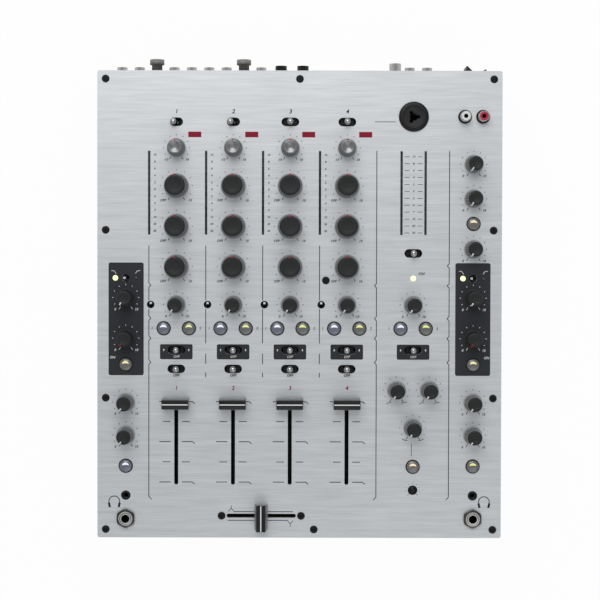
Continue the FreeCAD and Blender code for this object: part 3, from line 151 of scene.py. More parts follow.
HAIR_STRETCH, HAIR_SHARE = (0.035, 1.6, 1), 0.55
STREAK_GRAIN, STREAK_STRETCH, STREAK_SHARE = 90, (0.26, 3.4, 1), 0.45
PLATE_DARK, PLATE_LIGHT = (0.61, 0.63, 0.65), (0.74, 0.757, 0.77)


def brushed_aluminium():
    """Plate drawn from side to side: fine hairlines over broad, faint streaks."""
    material, tree, shader, place = shader_of("brushed_aluminium")
    hairs = noise(tree, place, FINE_GRAIN, HAIR_STRETCH, 6)
    streaks = noise(tree, place, STREAK_GRAIN, STREAK_STRETCH, 5)
    both = tree.nodes.new("ShaderNodeMath")
    both.operation = "MULTIPLY_ADD"
    wire(both, {0: hairs, 1: HAIR_SHARE, 2: level(tree, streaks, 0, STREAK_SHARE)})
    blend = both.outputs["Value"]
    wire(shader, {
        "Base Color": ramp(tree, blend, PLATE_DARK, PLATE_LIGHT, 0.36, 0.64),
        "Roughness": level(tree, blend, 0.36, 0.54),
        "Normal": bump(tree, hairs, 0.12, 0.03 * MM),
        "Metallic": 0.5,
    })
    return material


SEGMENT_BANDS = 58
GLASS_DARK, GLASS_LIGHT = (0.03, 0.035, 0.039), (0.05, 0.056, 0.062)


def meter_glass():
    """Smoked window with dark lamp segments showing faintly through it."""
    material, tree, shader, place = shader_of("meter_glass")
    bands = wire(tree.nodes.new("ShaderNodeTexWave"), {"Vector": place, "Scale": SEGMENT_BANDS})
    bands.bands_direction = "Y"
    wire(shader, {
        "Base Color": ramp(tree, bands.outputs["Fac"], GLASS_DARK, GLASS_LIGHT),
        "Normal": bump(tree, noise(tree, place, 300), 0.03, 0.02 * MM),
        "Roughness": 0.2,
        "Coat Weight": 0.6,
    })
    return material


ALUMINIUM = brushed_aluminium()
METER_GLASS = meter_glass()
POWDER_COAT = finish("powder_coat", (0.03, 0.031, 0.034), 0.5, spread=0.3, grain=1400, relief=0.5)
RUBBER = finish("foot_rubber", (0.018, 0.018, 0.018), 0.85, spread=0.3, relief=0.25)
BLACK_OXIDE = finish("black_oxide", (0.005, 0.0052, 0.0055), 0.5, shine=0.25)
KNOB_TOP = finish("knob_top", (0.014, 0.0148, 0.015), 0.5, spread=0.2, relief=0.12, shine=0.35)
KNOB_RIBS = finish("knob_ribs", (0.3, 0.305, 0.31), 0.5, spread=0.2, relief=0.15)
# Painted shade in the grooves between the ribs of a knob
KNOB_SHADED_GROOVE = finish("knob_shaded_groove", (0.07, 0.072, 0.074), 0.55, spread=0.25, relief=0.15)
DARK_RIBS = finish("dark_ribs", (0.035, 0.036, 0.038), 0.5, spread=0.25, relief=0.15, shine=0.35)
GAIN_TOP = finish("gain_top", (0.25, 0.253, 0.256), 0.28, metal=0.7, spread=0.08)
GAIN_RIBS = finish("gain_ribs", (0.26, 0.264, 0.268), 0.42, spread=0.12)
# Painted shade in the grooves between the ribs of a gain knob
GAIN_SHADED_GROOVE = finish("gain_shaded_groove", (0.13, 0.133, 0.136), 0.45, spread=0.15)
POINTER_RED = finish("pointer_red", (0.27, 0.006, 0.02), 0.4)
POINTER_WHITE = finish("pointer_white", (0.82, 0.82, 0.82), 0.4, spread=0.05)
CAP_TOP = finish("fader_cap_top", (0.01, 0.0105, 0.011), 0.5, spread=0.2, relief=0.12, shine=0.3)
CHROME = finish("lever_chrome", (0.52, 0.52, 0.52), 0.2, metal=1, spread=0.06, relief=0.03)
NICKEL = finish("nickel", (0.66, 0.65, 0.63), 0.3, metal=0.8, spread=0.08, relief=0.04)
POST_METAL = finish("post_metal", (0.3, 0.296, 0.285), 0.45, metal=0.25, spread=0.1, relief=0.04)
DARK_NICKEL = finish("dark_nickel", (0.1, 0.096, 0.092), 0.22, metal=1, spread=0.12, relief=0.04)
BRASS = finish("blade_brass", (0.56, 0.47, 0.28), 0.3, metal=1, spread=0.08)
BLACK_PLASTIC = finish("black_plastic", (0.008, 0.008, 0.0085), 0.45, spread=0.25, relief=0.15, shine=0.3)
SOCKET_FACE = finish("socket_face", (0.036, 0.036, 0.038), 0.45, spread=0.2, relief=0.15)
WHITE_PLASTIC = finish("white_plastic", (0.76, 0.76, 0.75), 0.35, spread=0.04)
RED_PLASTIC = finish("red_plastic", (0.44, 0.012, 0.05), 0.35, spread=0.08)
ZINC = finish("zinc", (0.4, 0.41, 0.42), 0.35, metal=1, grain=200)
BOARD_GREEN = finish("board_green", (0.012, 0.06, 0.03), 0.4, spread=0.25, grain=250, coat=0.3)
COPPER_WINDING = finish("copper_winding", (0.3, 0.13, 0.05), 0.35, metal=0.6, spread=0.3, grain=300,
                        stretch=(1, 1, 6))
LAMP_LIT = finish("lamp_lit", (0.84, 0.97, 0.42), 0.25, spread=0.04, coat=0.4, glow=1.2)
LAMP_DARK = finish("lamp_dark", (0.05, 0.052, 0.05), 0.25, spread=0.1, coat=0.4)
INK_BLACK = finish("ink_black", (0.014, 0.015, 0.018), 0.6, spread=0.2, shine=0.2)
INK_GREY = finish("ink_grey", (0.035, 0.038, 0.042), 0.6, spread=0.2, shine=0.2)
INK_PLATE = finish("ink_plate", (0.024, 0.025, 0.03), 0.5, relief=0.06, shine=0.3)
INK_RED = finish("ink_red", (0.25, 0.002, 0.022), 0.5, spread=0.1, shine=0.25)
INK_WHITE = finish("ink_white", (0.74, 0.74, 0.74), 0.5, spread=0.05)
# The body of a lens, and its bright crescent: a painted highlight for the reflection of the lamp overhead,
# glowing a little
LENS_TINTS = {
    "violet": ((0.15, 0.155, 0.205), (0.86, 0.88, 1.0)),
    "yellow": ((0.145, 0.148, 0.142), (0.8, 0.84, 0.3)),
    "amber": ((0.165, 0.152, 0.148), (0.95, 0.78, 0.5)),
    "warm": ((0.15, 0.147, 0.14), (0.95, 0.86, 0.4)),
}
LENSES = {tint: finish(f"lens_{tint}", body, 0.14, spread=0.1, relief=0.02, coat=0.8)
          for tint, (body, _) in LENS_TINTS.items()}
# Painted highlights on the lenses, glowing a little
LENS_HIGHLIGHTS = {tint: finish(f"painted_highlight_{tint}", light, 0.2, spread=0.03, relief=0.01, coat=0.5, glow=0.3)
             for tint, (_, light) in LENS_TINTS.items()}


# Building steps

SMOOTH_ANGLE, SHARP_ANGLE = math.radians(35), math.radians(50)


def lathe(profile, steps):
    """A profile of radii and heights in millimetres, spun about the Z axis."""
    shape = bmesh.new()
    verts = [shape.verts.new((radius * MM, 0, height * MM)) for radius, height in profile]
    edges = [shape.edges.new(pair) for pair in zip(verts, verts[1:])]
    bmesh.ops.spin(shape, geom=verts + edges, cent=(0, 0, 0), axis=(0, 0, 1), angle=math.tau, steps=steps,
                   use_merge=True)
    bmesh.ops.remove_doubles(shape, verts=shape.verts, dist=1e-7)
    return shape


def copy_of(node):
    """A node's solids as a new shape."""
    shape = bmesh.new()
    shape.from_mesh(frame["nodes"][node].data)
    bmesh.ops.remove_doubles(shape, verts=shape.verts, dist=1e-6)
    return shape


def rounded(shape, edges, offset, segments=3):
    """Round some edges of a shape by an offset in millimetres."""
    bmesh.ops.bevel(shape, geom=edges, offset=offset * MM, segments=segments, affect="EDGES", profile=0.5,
                    material=-1)


def extruded(outline, run, rounding):
    """A flat outline drawn out along a run, with its sharp edges rounded."""
    shape = bmesh.new()
    end = shape.faces.new([shape.verts.new(spot) for spot in outline])
    far = bmesh.ops.extrude_face_region(shape, geom=[end])["geom"]
    moved = [item for item in far if isinstance(item, bmesh.types.BMVert)]
    bmesh.ops.translate(shape, vec=run, verts=moved)
    bmesh.ops.recalc_face_normals(shape, faces=shape.faces)
    rounded(shape, [edge for edge in shape.edges if edge.calc_face_angle(0) > SHARP_ANGLE], rounding)
    return shape


def merge(shape, part, matrix, slot=None):
    """Add a part to a shape at a place, and free the part. A slot gives all its faces one material."""
    if slot is not None:
        for face in part.faces:
            face.material_index = slot
    part.transform(matrix)
    held = bpy.data.meshes.new("held")
    part.to_mesh(held)
    part.free()
    shape.from_mesh(held)
    bpy.data.meshes.remove(held)


def linked(name, data):
    """A new object in the scene."""
    thing = bpy.data.objects.new(name, data)
    bpy.context.scene.collection.objects.link(thing)
    return thing


def piece(name, shape, materials, body="chassis", replaced=()):
    """Finish a shape as an object that rides on a body."""
    bmesh.ops.recalc_face_normals(shape, faces=shape.faces)
    mesh = bpy.data.meshes.new(name)
    shape.to_mesh(mesh)
    shape.free()
    for material in materials:
        mesh.materials.append(material)
    mesh.shade_smooth()
    mesh.set_sharp_from_angle(angle=SMOOTH_ANGLE)
    thing = linked(name, mesh)
    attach(thing, body)
    if replaced:
        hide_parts(*replaced)


def corners(spots):
    """The lowest and the highest corner of the box round some places."""
    return [Vector([end(spot[axis] for spot in spots) for axis in range(3)]) for end in (min, max)]


def islands(shape):
    """The separate solids of a shape, each with its faces, its lowest and its highest corner."""
    waiting = set(shape.faces)
    found = []
    while waiting:
        front = [waiting.pop()]
        faces = list(front)
        while front:
            near = {other for edge in front.pop().edges for other in edge.link_faces} & waiting
            waiting -= near
            front.extend(near)
            faces.extend(near)
        found.append((faces, *corners([vert.co for face in faces for vert in face.verts])))
    return found


def dressed(node, name, materials, choose, body="chassis"):
    """A copy of a node whose solids each get a material, or are left out where the choice is None."""
    shape = copy_of(node)
    unwanted = []
    for faces, low, high in islands(shape):
        choice = choose(low, high)
        if choice is None:
            unwanted += faces
            continue
        for face in faces:
            face.material_index = materials.index(choice)
    bmesh.ops.delete(shape, geom=unwanted, context="FACES")
    piece(name, shape, materials, body, [node])


def paint(node, material):
    """Give a node one material."""
    slots = frame["nodes"][node].data.materials
    slots.clear()
    slots.append(material)


def at(x, y, z=PLATE_TOP, angle=0):
    """A place, on the plate unless a height is given, turned about the Z axis."""
    return Matrix.Translation((x, y, z)) @ Matrix.Rotation(angle, 4, "Z")


# Knobs

KNOB_LIFT = 0.8
# Foot radius, top radius, height and number of ribs
KNOB_SIZES = {"tone": (9.75, 8, 15.5, 36), "small": (7.3, 5.7, 15, 28)}
SKIRT, RIM, RIB_DEPTH = 1.6, 1.1, 0.42
RIB_INSET, RIB_RISE = 0.75, 0.5
# Depth, share of the top and bend
DISHES = {"plain": (0.5, 0.7, 3), "deep": (1.6, 0.8, 1.3)}
SHAFT_RADIUS = 3
# Material slots of a knob. The groove slot holds painted shade for the hollows between the ribs
TOP_FACES, RIB_FACES, POINTER_FACES, GROOVE_SHADE_FACES = range(4)


def knob_shape(kind, hollow, shaft_foot):
    """A knob with a plain skirt, a ribbed side, a rounded rim and a dished top, on its shaft."""
    radius, top, height, ribs = KNOB_SIZES[kind]
    dish, dish_share, bend = DISHES[hollow]
    rib_foot, rib_head = SKIRT + RIB_RISE, height - RIM
    profile = [(top * dish_share * share, height - dish * (1 - share ** bend))
               for share in (0, 0.3, 0.6, 0.8, 0.95)]
    for step in range(6):
        turn = math.pi / 2 * step / 5
        profile.append((top - RIM + RIM * math.sin(turn), height - RIM + RIM * math.cos(turn)))
    for share in (0.04, 0.35, 0.7, 1):
        profile.append((top + (radius - RIB_INSET - top) * share, rib_head + (rib_foot - rib_head) * share))
    profile += [(radius - 0.5, SKIRT + 0.3), (radius - 0.12, SKIRT), (radius, SKIRT - 0.3), (radius, 0.2),
                (radius - 0.2, 0), (SHAFT_RADIUS, 0), (SHAFT_RADIUS, shaft_foot), (0, shaft_foot)]
    shape = lathe(profile, 4 * ribs)
    low, high = (rib_foot - 0.1) * MM, (rib_head - 0.1) * MM
    for vert in shape.verts:
        if low < vert.co.z < high and vert.co.xy.length > (SHAFT_RADIUS + 1) * MM:
            turn = math.atan2(vert.co.y, vert.co.x)
            reach = vert.co.xy.length + RIB_DEPTH * MM * math.cos(ribs * turn)
            vert.co.xy = vert.co.xy.normalized() * reach
    # Faces in the grooves between the ribs get painted shade
    for face in shape.faces:
        centre = face.calc_center_median()
        groove = math.cos(ribs * math.atan2(centre.y, centre.x)) < 0 and centre.z > rib_foot * MM
        side = GROOVE_SHADE_FACES if groove else RIB_FACES
        face.material_index = TOP_FACES if centre.z > rib_head * MM else side
    return shape


POINTER_LIFT, POINTER_DEPTH = 0.07, 0.5


def pointer_shape(kind, inner, half_width, tip_width, tip_height):
    """A pointer that lies on a knob's top, goes over its rim and runs down its side."""
    radius, top, height, _ = KNOB_SIZES[kind]
    bend = top - RIM
    slope = (radius - RIB_INSET - top) / (SKIRT + RIB_RISE - height + RIM)
    tip = top + slope * (tip_height - height + RIM) + RIB_DEPTH + POINTER_LIFT
    reaches = [inner] + [reach for reach in (bend, bend + 0.7 * RIM) if reach > inner]
    ridge = [(reach, height - RIM + math.sqrt(RIM ** 2 - max(reach - bend, 0) ** 2) + POINTER_LIFT)
             for reach in reaches]
    ridge += [(top + RIB_DEPTH + POINTER_LIFT, height - RIM), (tip, tip_height)]
    widths = [half_width + (tip_width - half_width) * step / (len(ridge) - 1) for step in range(len(ridge))]
    shape = bmesh.new()
    rungs = [[shape.verts.new((sign * wide * MM, reach * MM, rise * MM)) for sign in (-1, 1)]
             for (reach, rise), wide in zip(ridge, widths)]
    for rung, following in zip(rungs, rungs[1:]):
        shape.faces.new((rung[0], rung[1], following[1], following[0]))
    bmesh.ops.recalc_face_normals(shape, faces=shape.faces)
    bmesh.ops.solidify(shape, geom=shape.faces[:], thickness=POINTER_DEPTH * MM)
    return shape


# Knob size, ink, and the pointer's inner reach, half widths at its two ends and tip height
POINTERS = {
    "tone": ("tone", POINTER_RED, (7.3, 1.35, 0.3, 3.2)),
    "gain": ("small", POINTER_RED, (3.9, 0.5, 0.5, 1.9)),
    "small": ("small", POINTER_WHITE, (3.9, 0.55, 0.5, 6)),
}
FILTER_KNOBS = ("resonance_knob", "frequency_knob")
TONE_KNOBS = ("high_knob", "middle_knob", "low_knob")
HALF_TURN = 150


def add_knob(node):
    """The finished knob of a node, with its pointer turned as the node rests."""
    spot = AXLES[node]
    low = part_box(node)[0].z
    seat = PLATE_TOP + KNOB_LIFT * MM
    style = "gain" if node.endswith("gain_knob") else "tone" if node.endswith(TONE_KNOBS) else "small"
    kind, ink, sizes = POINTERS[style]
    if node.endswith("frequency_knob"):
        ink = POINTER_RED
    angle = math.radians(HALF_TURN) if style == "small" else 0
    place = at(spot.x, spot.y, seat, angle)
    shape = bmesh.new()
    merge(shape, knob_shape(kind, "deep" if style == "gain" else "plain", (low - seat) / MM), place)
    merge(shape, pointer_shape(kind, *sizes), place, POINTER_FACES)
    # The last colour is painted shade in the grooves between the ribs. Filter knobs take the top's darker
    # colour there
    colours = [KNOB_TOP, KNOB_RIBS, ink, KNOB_SHADED_GROOVE]
    if style == "gain":
        colours = [GAIN_TOP, GAIN_RIBS, ink, GAIN_SHADED_GROOVE]
    elif node.endswith(FILTER_KNOBS):
        colours = [KNOB_TOP, DARK_RIBS, ink, KNOB_TOP]
    piece(f"{node}_finished", shape, colours, node, [node])


knob_nodes = [node for node in AXLES if node.endswith("_knob")]
for node in knob_nodes:
    add_knob(node)


# Push buttons

LENS_RADIUS, LENS_RISE, LENS_EDGE, LENS_SKIRT = 4.9, 2.4, 0.9, 5
STEM_RADIUS = 1.5


def dome(radius):
    """Height of a lens at a radius, in millimetres above the plate."""
    return LENS_EDGE + (LENS_RISE - LENS_EDGE) * math.sqrt(max(1 - (radius / LENS_RADIUS) ** 2, 0))


def lens_shape(stem_foot):
    """A domed lens on its stem."""
    steps = 10
    reaches = [LENS_RADIUS * math.sin(math.pi / 2 * step / steps) for step in range(steps + 1)]
    profile = [(reach, dome(reach)) for reach in reaches]
    foot = [(LENS_RADIUS, -LENS_SKIRT), (STEM_RADIUS, -LENS_SKIRT), (STEM_RADIUS, stem_foot), (0, stem_foot)]
    return lathe(profile + foot, 40)


# Size and place of the painted highlight on a lens
CRESCENT_REACH, CRESCENT_ROW, CRESCENT_FOOT, CRESCENT_RISE = 2.75, 0.35, 0.75, 1.75
CRESCENT_LIFT, CRESCENT_DEPTH = 0.03, 0.15


def crescent_shape():
    """A painted highlight on the upper half of a lens, laid close over its dome."""
    shape = bmesh.new()
    across, up = 14, 4
    grid = []
    for step in range(across + 1):
        turn = math.pi * (0.1 + 0.8 * step / across)
        column = []
        for rise in range(up + 1):
            share = rise / up
            x = CRESCENT_REACH * math.cos(turn) * (0.96 + 0.04 * share)
            y = CRESCENT_ROW + math.sin(turn) * (CRESCENT_FOOT + CRESCENT_RISE * share)
            z = dome(math.hypot(x, y)) + CRESCENT_LIFT
            column.append(shape.verts.new((x * MM, y * MM, z * MM)))
        grid.append(column)
    for left, right in zip(grid, grid[1:]):
        for rise in range(up):
            shape.faces.new((left[rise], left[rise + 1], right[rise + 1], right[rise]))
    bmesh.ops.recalc_face_normals(shape, faces=shape.faces)
    bmesh.ops.solidify(shape, geom=shape.faces[:], thickness=CRESCENT_DEPTH * MM)
    return shape


def button_spots():
    """Every button's place and tint."""
    spots = [(SIDE_X, row(MONO_ROW), "amber"), (MASTER_X, row(REVERSE_ROW), "amber")]
    for sign, tint in ((-1, "violet"), (1, "yellow")):
        spots += [(x + sign * CUE_OFFSET * MM, row(CUE_ROW), tint) for x in CHANNEL_X + [MASTER_X]]
        spots += [(sign * SIDE_X, row(FILTER_ON_ROW), "warm"), (sign * SIDE_X, row(SPLIT_ROW), tint)]
    return spots


def add_buttons():
    stem_foot = (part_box("push_buttons")[0].z - PLATE_TOP) / MM
    for tint in LENS_TINTS:
        shape = bmesh.new()
        for x, y, colour in button_spots():
            if colour == tint:
                merge(shape, lens_shape(stem_foot), at(x, y), 0)
                # The painted highlight over the lens
                merge(shape, crescent_shape(), at(x, y), 1)
        piece(f"{tint}_buttons", shape, [LENSES[tint], LENS_HIGHLIGHTS[tint]], "push_buttons",
              ["push_buttons"])


# A dark ring round each lens: partly a bezel, partly painted shade in the gap between lens and hole
COLLAR = [(5.02, -2.9), (5.02, 0.1), (5.15, 0.2), (5.6, 0.2), (5.72, 0.1), (5.72, 0), (5.32, 0), (5.32, -2.9),
          (5.02, -2.9)]


def add_collars():
    """A black ring in the plate round each button: a bezel, and painted shade in the gap round the lens."""
    shape = bmesh.new()
    for x, y, _ in button_spots():
        merge(shape, lathe(COLLAR, 40), at(x, y))
    piece("button_collars_gap_shade", shape, [BLACK_PLASTIC])


add_buttons()
add_collars()


# Faders

CAP_LIFT = 3
CAP_WIDTH, CAP_LENGTH, CAP_TOP_LENGTH, CAP_HEIGHT, CAP_DISH = 21, 10.6, 7, 11, 0.8
CAP_ROUNDING = 0.6
LINE_WIDTH, LINE_MARGIN, LINE_DEPTH = 0.85, 0.8, 0.5
# Painted highlight on the sloping faces of the fader caps: pale at the foot, dark at the top
CAP_SHEEN_FOOT, CAP_SHEEN_BROW = (0.3, 0.304, 0.308), (0.06, 0.062, 0.064)


def cap_slope():
    """The sloping faces of a cap, with a painted highlight: dark at the top and paler towards the foot."""
    material, tree, shader, place = shader_of("fader_cap_painted_sheen")
    height = wire(tree.nodes.new("ShaderNodeSeparateXYZ"), {"Vector": place}).outputs["Z"]
    foot = PLATE_TOP + CAP_LIFT * MM
    share = tree.nodes.new("ShaderNodeMapRange")
    wire(share, {"Value": height, "From Min": foot, "From Max": foot + CAP_HEIGHT * MM})
    wire(shader, {
        "Base Color": ramp(tree, share.outputs["Result"], CAP_SHEEN_FOOT, CAP_SHEEN_BROW, 0.1, 0.95),
        "Normal": bump(tree, noise(tree, place, FINE_GRAIN), 0.1, GRAIN_DEPTH),
        "Roughness": 0.4,
    })
    return material


# The painted highlight of the caps' sloping faces
CAP_PAINTED_SHEEN = cap_slope()


def cap_shape():
    """A fader cap with sloping ends and a hollow top, its travel along Y."""
    half, half_top = CAP_LENGTH / 2, CAP_TOP_LENGTH / 2
    outline = [(-half, 0), (half, 0), (half_top, CAP_HEIGHT)]
    outline += [(half_top * share, CAP_HEIGHT - CAP_DISH * (1 - share * share))
                for share in (0.7, 0.35, -0.35, -0.7)]
    outline.append((-half_top, CAP_HEIGHT))
    end = [(-CAP_WIDTH / 2 * MM, along * MM, up * MM) for along, up in outline]
    shape = extruded(end, (CAP_WIDTH * MM, 0, 0), CAP_ROUNDING)
    for face in shape.faces:
        # Sloping faces take the painted highlight, and the flat top stays dark
        face.material_index = int(face.normal.z < 0.6)
    return shape


def line_shape():
    """The white line across the middle of a cap's top."""
    shape = bmesh.new()
    size = Matrix.Diagonal(((CAP_WIDTH - LINE_MARGIN) * MM, LINE_WIDTH * MM, LINE_DEPTH * MM, 1))
    place = Matrix.Translation((0, 0, (CAP_HEIGHT - CAP_DISH) * MM))
    bmesh.ops.create_cube(shape, size=1, matrix=place @ size)
    return shape


def carriage_choice(low, high):
    """Only the carriage under the plate is kept. A finished cap stands for the rest."""
    return ZINC if low.z < PLATE_LOW.z else None


def add_fader(node, angle):
    """A finished cap on a fader's carriage."""
    low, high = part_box(node)
    x, y = (low.x + high.x) / 2, (low.y + high.y) / 2
    place = at(x, y, PLATE_TOP + CAP_LIFT * MM, angle)
    shape = bmesh.new()
    merge(shape, cap_shape(), place)
    merge(shape, line_shape(), place, 2)
    # Second colour: the painted highlight on the sloping faces
    piece(f"{node}_cap", shape, [CAP_TOP, CAP_PAINTED_SHEEN, POINTER_WHITE], node)
    dressed(node, f"{node}_carriage", [ZINC], carriage_choice, node)


for number in CHANNELS:
    add_fader(f"channel_{number}_fader", 0)
add_fader("crossfader", math.pi / 2)


# Toggle levers, nubs and case

CAD_TIP, TIP = 2.1, 2.5


def add_levers(node):
    """Chrome levers, each with a ball a little larger than the tip of its solid."""
    shape = copy_of(node)
    centres = []
    for faces, _, high in islands(shape):
        height = high.z - CAD_TIP * MM
        low, high = corners([vert.co for face in faces for vert in face.verts if vert.co.z > height])
        centres.append(((low.x + high.x) / 2, (low.y + high.y) / 2, height))
    for centre in centres:
        ball = bmesh.new()
        bmesh.ops.create_uvsphere(ball, u_segments=24, v_segments=16, radius=TIP * MM)
        merge(shape, ball, at(*centre))
    piece(f"{node}_finished", shape, [CHROME], node, [node])


for node in list(frame["nodes"]):
    if node.endswith(("_lever", "_levers")):
        add_levers(node)
    if node.endswith("_nubs"):
        paint(node, WHITE_PLASTIC)
paint("top_plate", ALUMINIUM)
paint("base_tray", POWDER_COAT)
paint("rubber_feet", RUBBER)
paint("fader_rails", BLACK_OXIDE)


BOARD_THICK, CORE_WIDTH, POST_WIDTH = 3, 40, 7


def board_choice(low, high):
    """Boards are green, the transformer copper, the posts zinc and the rest black."""
    size = high - low
    if size.z < BOARD_THICK * MM:
        return BOARD_GREEN
    if size.x > CORE_WIDTH * MM:
        return COPPER_WINDING
    return ZINC if size.x < POST_WIDTH * MM and abs(size.x - size.y) < 0.5 * MM else BLACK_PLASTIC


dressed("circuit_boards", "inner_boards", [BOARD_GREEN, COPPER_WINDING, ZINC, BLACK_PLASTIC], board_choice)


# Meter windows and lamps

WINDOW_LENGTH = 10
LAMP_DOME = [(0, 1.1), (1, 0.95), (1.7, 0.6), (2.1, 0.2), (2.1, 0.01), (0, 0.01)]


def lamp_choice(low, high):
    """Windows are smoked. The power lamp and the left lamp of each filter are lit."""
    if (high - low).y > WINDOW_LENGTH * MM:
        return METER_GLASS
    x = (low.x + high.x) / 2
    return LAMP_LIT if any(abs(x - spot) < MM for spot in LIT_X) else LAMP_DARK


dressed("meters_and_lamps", "windows_and_lamps", [METER_GLASS, LAMP_LIT, LAMP_DARK], lamp_choice)


def add_lamp_domes():
    """A rounded cap on each lamp that is lit."""
    shape = bmesh.new()
    for x in LIT_X:
        merge(shape, lathe(LAMP_DOME, 32), at(x, row(MODE_ROW)))
    piece("lamp_domes", shape, [LAMP_LIT])


add_lamp_domes()


# Screws

HEAD_FOOT, HEAD_TOP, HEAD_HEIGHT, HEAD_ROUNDING = 3.1, 2.3, 1.2, 0.35
SOCKET_INSET, SOCKET_HALF, SOCKET_DEPTH = 0.6, 1, 0.8
SHANK = [(0, 0), (1.5, 0), (1.5, -6), (0, -6)]


def screw_shape():
    """A button head with a hexagon socket."""
    shape = bmesh.new()
    bmesh.ops.create_cone(shape, cap_ends=True, segments=36, radius1=HEAD_FOOT * MM, radius2=HEAD_TOP * MM,
                          depth=HEAD_HEIGHT * MM)
    rounded(shape, [edge for edge in shape.edges if all(vert.co.z > 0 for vert in edge.verts)], HEAD_ROUNDING)
    top = max(shape.faces, key=lambda face: face.calc_center_median().z)
    bmesh.ops.inset_individual(shape, faces=[top], thickness=SOCKET_INSET * MM)
    for vert in top.verts:
        turn = math.atan2(vert.co.y, vert.co.x) % (math.pi / 3) - math.pi / 6
        vert.co.xy = vert.co.xy.normalized() * SOCKET_HALF * MM / math.cos(turn)
    hole = bmesh.ops.extrude_discrete_faces(shape, faces=[top])["faces"]
    bmesh.ops.translate(shape, vec=(0, 0, -SOCKET_DEPTH * MM), verts=hole[0].verts)
    return shape


def add_screws():
    """A finished screw in the place of each one in the solids."""
    shape = copy_of("plate_screws")
    spots = [(low + high) / 2 for _, low, high in islands(shape)]
    shape.clear()
    for spot in spots:
        merge(shape, screw_shape(), at(spot.x, spot.y, PLATE_TOP + HEAD_HEIGHT / 2 * MM))
        merge(shape, lathe(SHANK, 16), at(spot.x, spot.y))
    piece("socket_screws", shape, [BLACK_OXIDE], replaced=["plate_screws"])


add_screws()


# Sockets in the plate

FACE_WIDTH, NUT_LIMIT = 20, 4


def socket_choice(low, high):
    """The microphone socket is dark and the small jacks are black. Finished nuts stand for the nuts."""
    size = high - low
    if size.x > FACE_WIDTH * MM:
        return SOCKET_FACE
    if high.z < PLATE_TOP:
        return BLACK_PLASTIC
    if size.z < NUT_LIMIT * MM:
        return None
    return DARK_NICKEL if low.y < 0 else BLACK_PLASTIC


dressed("top_sockets", "plate_sockets", [BLACK_PLASTIC, DARK_NICKEL, SOCKET_FACE], socket_choice)


NUT_RADIUS, NUT_HEIGHT, NUT_MIDDLE, NUT_BORE = 8.1, 2.2, 1.3, 4.7
NUT_CORNER, NUT_INSET, NUT_ROUNDING = 1.9, 1.2, 0.5


def nut_shape():
    """A hexagon nut with rounded corners, open in the middle."""
    shape = bmesh.new()
    bmesh.ops.create_cone(shape, cap_ends=True, segments=6, radius1=NUT_RADIUS * MM, radius2=NUT_RADIUS * MM,
                          depth=NUT_HEIGHT * MM, matrix=Matrix.Translation((0, 0, NUT_MIDDLE * MM)))
    upright = [edge for edge in shape.edges if abs(edge.verts[0].co.z - edge.verts[1].co.z) > MM]
    rounded(shape, upright, NUT_CORNER, 5)
    ends = [face for face in shape.faces if abs(face.normal.z) > 0.9]
    bmesh.ops.inset_individual(shape, faces=ends, thickness=NUT_INSET * MM)
    for end in ends:
        for vert in end.verts:
            vert.co.xy = vert.co.xy.normalized() * NUT_BORE * MM
    mouths = [edge for end in ends for edge in end.edges]
    bmesh.ops.delete(shape, geom=ends, context="FACES_ONLY")
    bmesh.ops.bridge_loops(shape, edges=mouths)
    rims = [edge for edge in shape.edges if edge.calc_face_angle(0) > math.radians(60)
            and edge.verts[0].co.xy.length > (NUT_BORE + NUT_INSET) * MM
            and abs(edge.verts[0].co.z - edge.verts[1].co.z) < 0.1 * MM]
    rounded(shape, rims, NUT_ROUNDING)
    return shape


BUSH_WASHER = [(4.7, 2.4), (5.3, 2.5), (5.6, 2.9), (5.3, 3.3), (4.7, 3.36), (4.7, 2.4)]
BUSH_COLLAR = [(3.3, 3.42), (4.1, 3.46), (4.5, 3.3), (4.66, 2.9), (4.66, 0.5), (3.3, 0.5), (3.3, 3.42)]
BORE_LINING = [(0, -28.2), (3.2, -28.2), (3.2, 3.4), (3.29, 3.4), (3.29, -28.4), (0, -28.4)]


def add_headphone_jacks():
    """A nut, a washer and a lined bush round each headphone jack."""
    for name, sign in SIDES:
        place = at(sign * SIDE_X, row(JACK_ROW))
        shape = bmesh.new()
        merge(shape, nut_shape(), place, 0)
        merge(shape, lathe(BUSH_WASHER, 48), place, 1)
        merge(shape, lathe(BUSH_COLLAR, 48), place, 1)
        merge(shape, lathe(BORE_LINING, 32), place, 2)
        piece(f"{name}_jack_nut", shape, [DARK_NICKEL, NICKEL, BLACK_PLASTIC])


add_headphone_jacks()


MICROPHONE_RING = [(8.15, 0.95), (8.15, 1.84), (8.4, 1.95), (10, 1.88), (11.5, 1.15), (11.84, 0.8),
                   (11.84, 0.02), (8.15, 0.02), (8.15, 0.95)]


def add_microphone_ring():
    """The black ring round the face of the microphone socket."""
    shape = lathe(MICROPHONE_RING, 64)
    shape.transform(at(MASTER_X, row(RECORD_ROW)))
    piece("microphone_ring", shape, [BLACK_PLASTIC])


add_microphone_ring()


PIN_RING = [(1.72, -0.3), (1.72, 0.06), (1.95, 0.14), (3.3, 0.14), (3.5, 0.06), (3.5, -0.3), (1.72, -0.3)]
PIN_RISE, RECORD_OFFSET = 8, 7.1
RECORD_SLEEVE = [(4.2, 0.5), (4.2, 7.6), (4, 8.05), (3.6, 8.05), (3.55, 7.7), (3.55, 0.5), (4.2, 0.5)]


def add_record_inserts():
    """A plated sleeve on each record socket, with a coloured ring round the hole for its pin."""
    shape = bmesh.new()
    for sign, slot in ((-1, 0), (1, 1)):
        place = at(SIDE_X + sign * RECORD_OFFSET * MM, row(RECORD_ROW))
        merge(shape, lathe(PIN_RING, 32), place @ Matrix.Translation((0, 0, PIN_RISE * MM)), slot)
        merge(shape, lathe(RECORD_SLEEVE, 40), place, 2)
    piece("record_inserts", shape, [WHITE_PLASTIC, RED_PLASTIC, NICKEL])


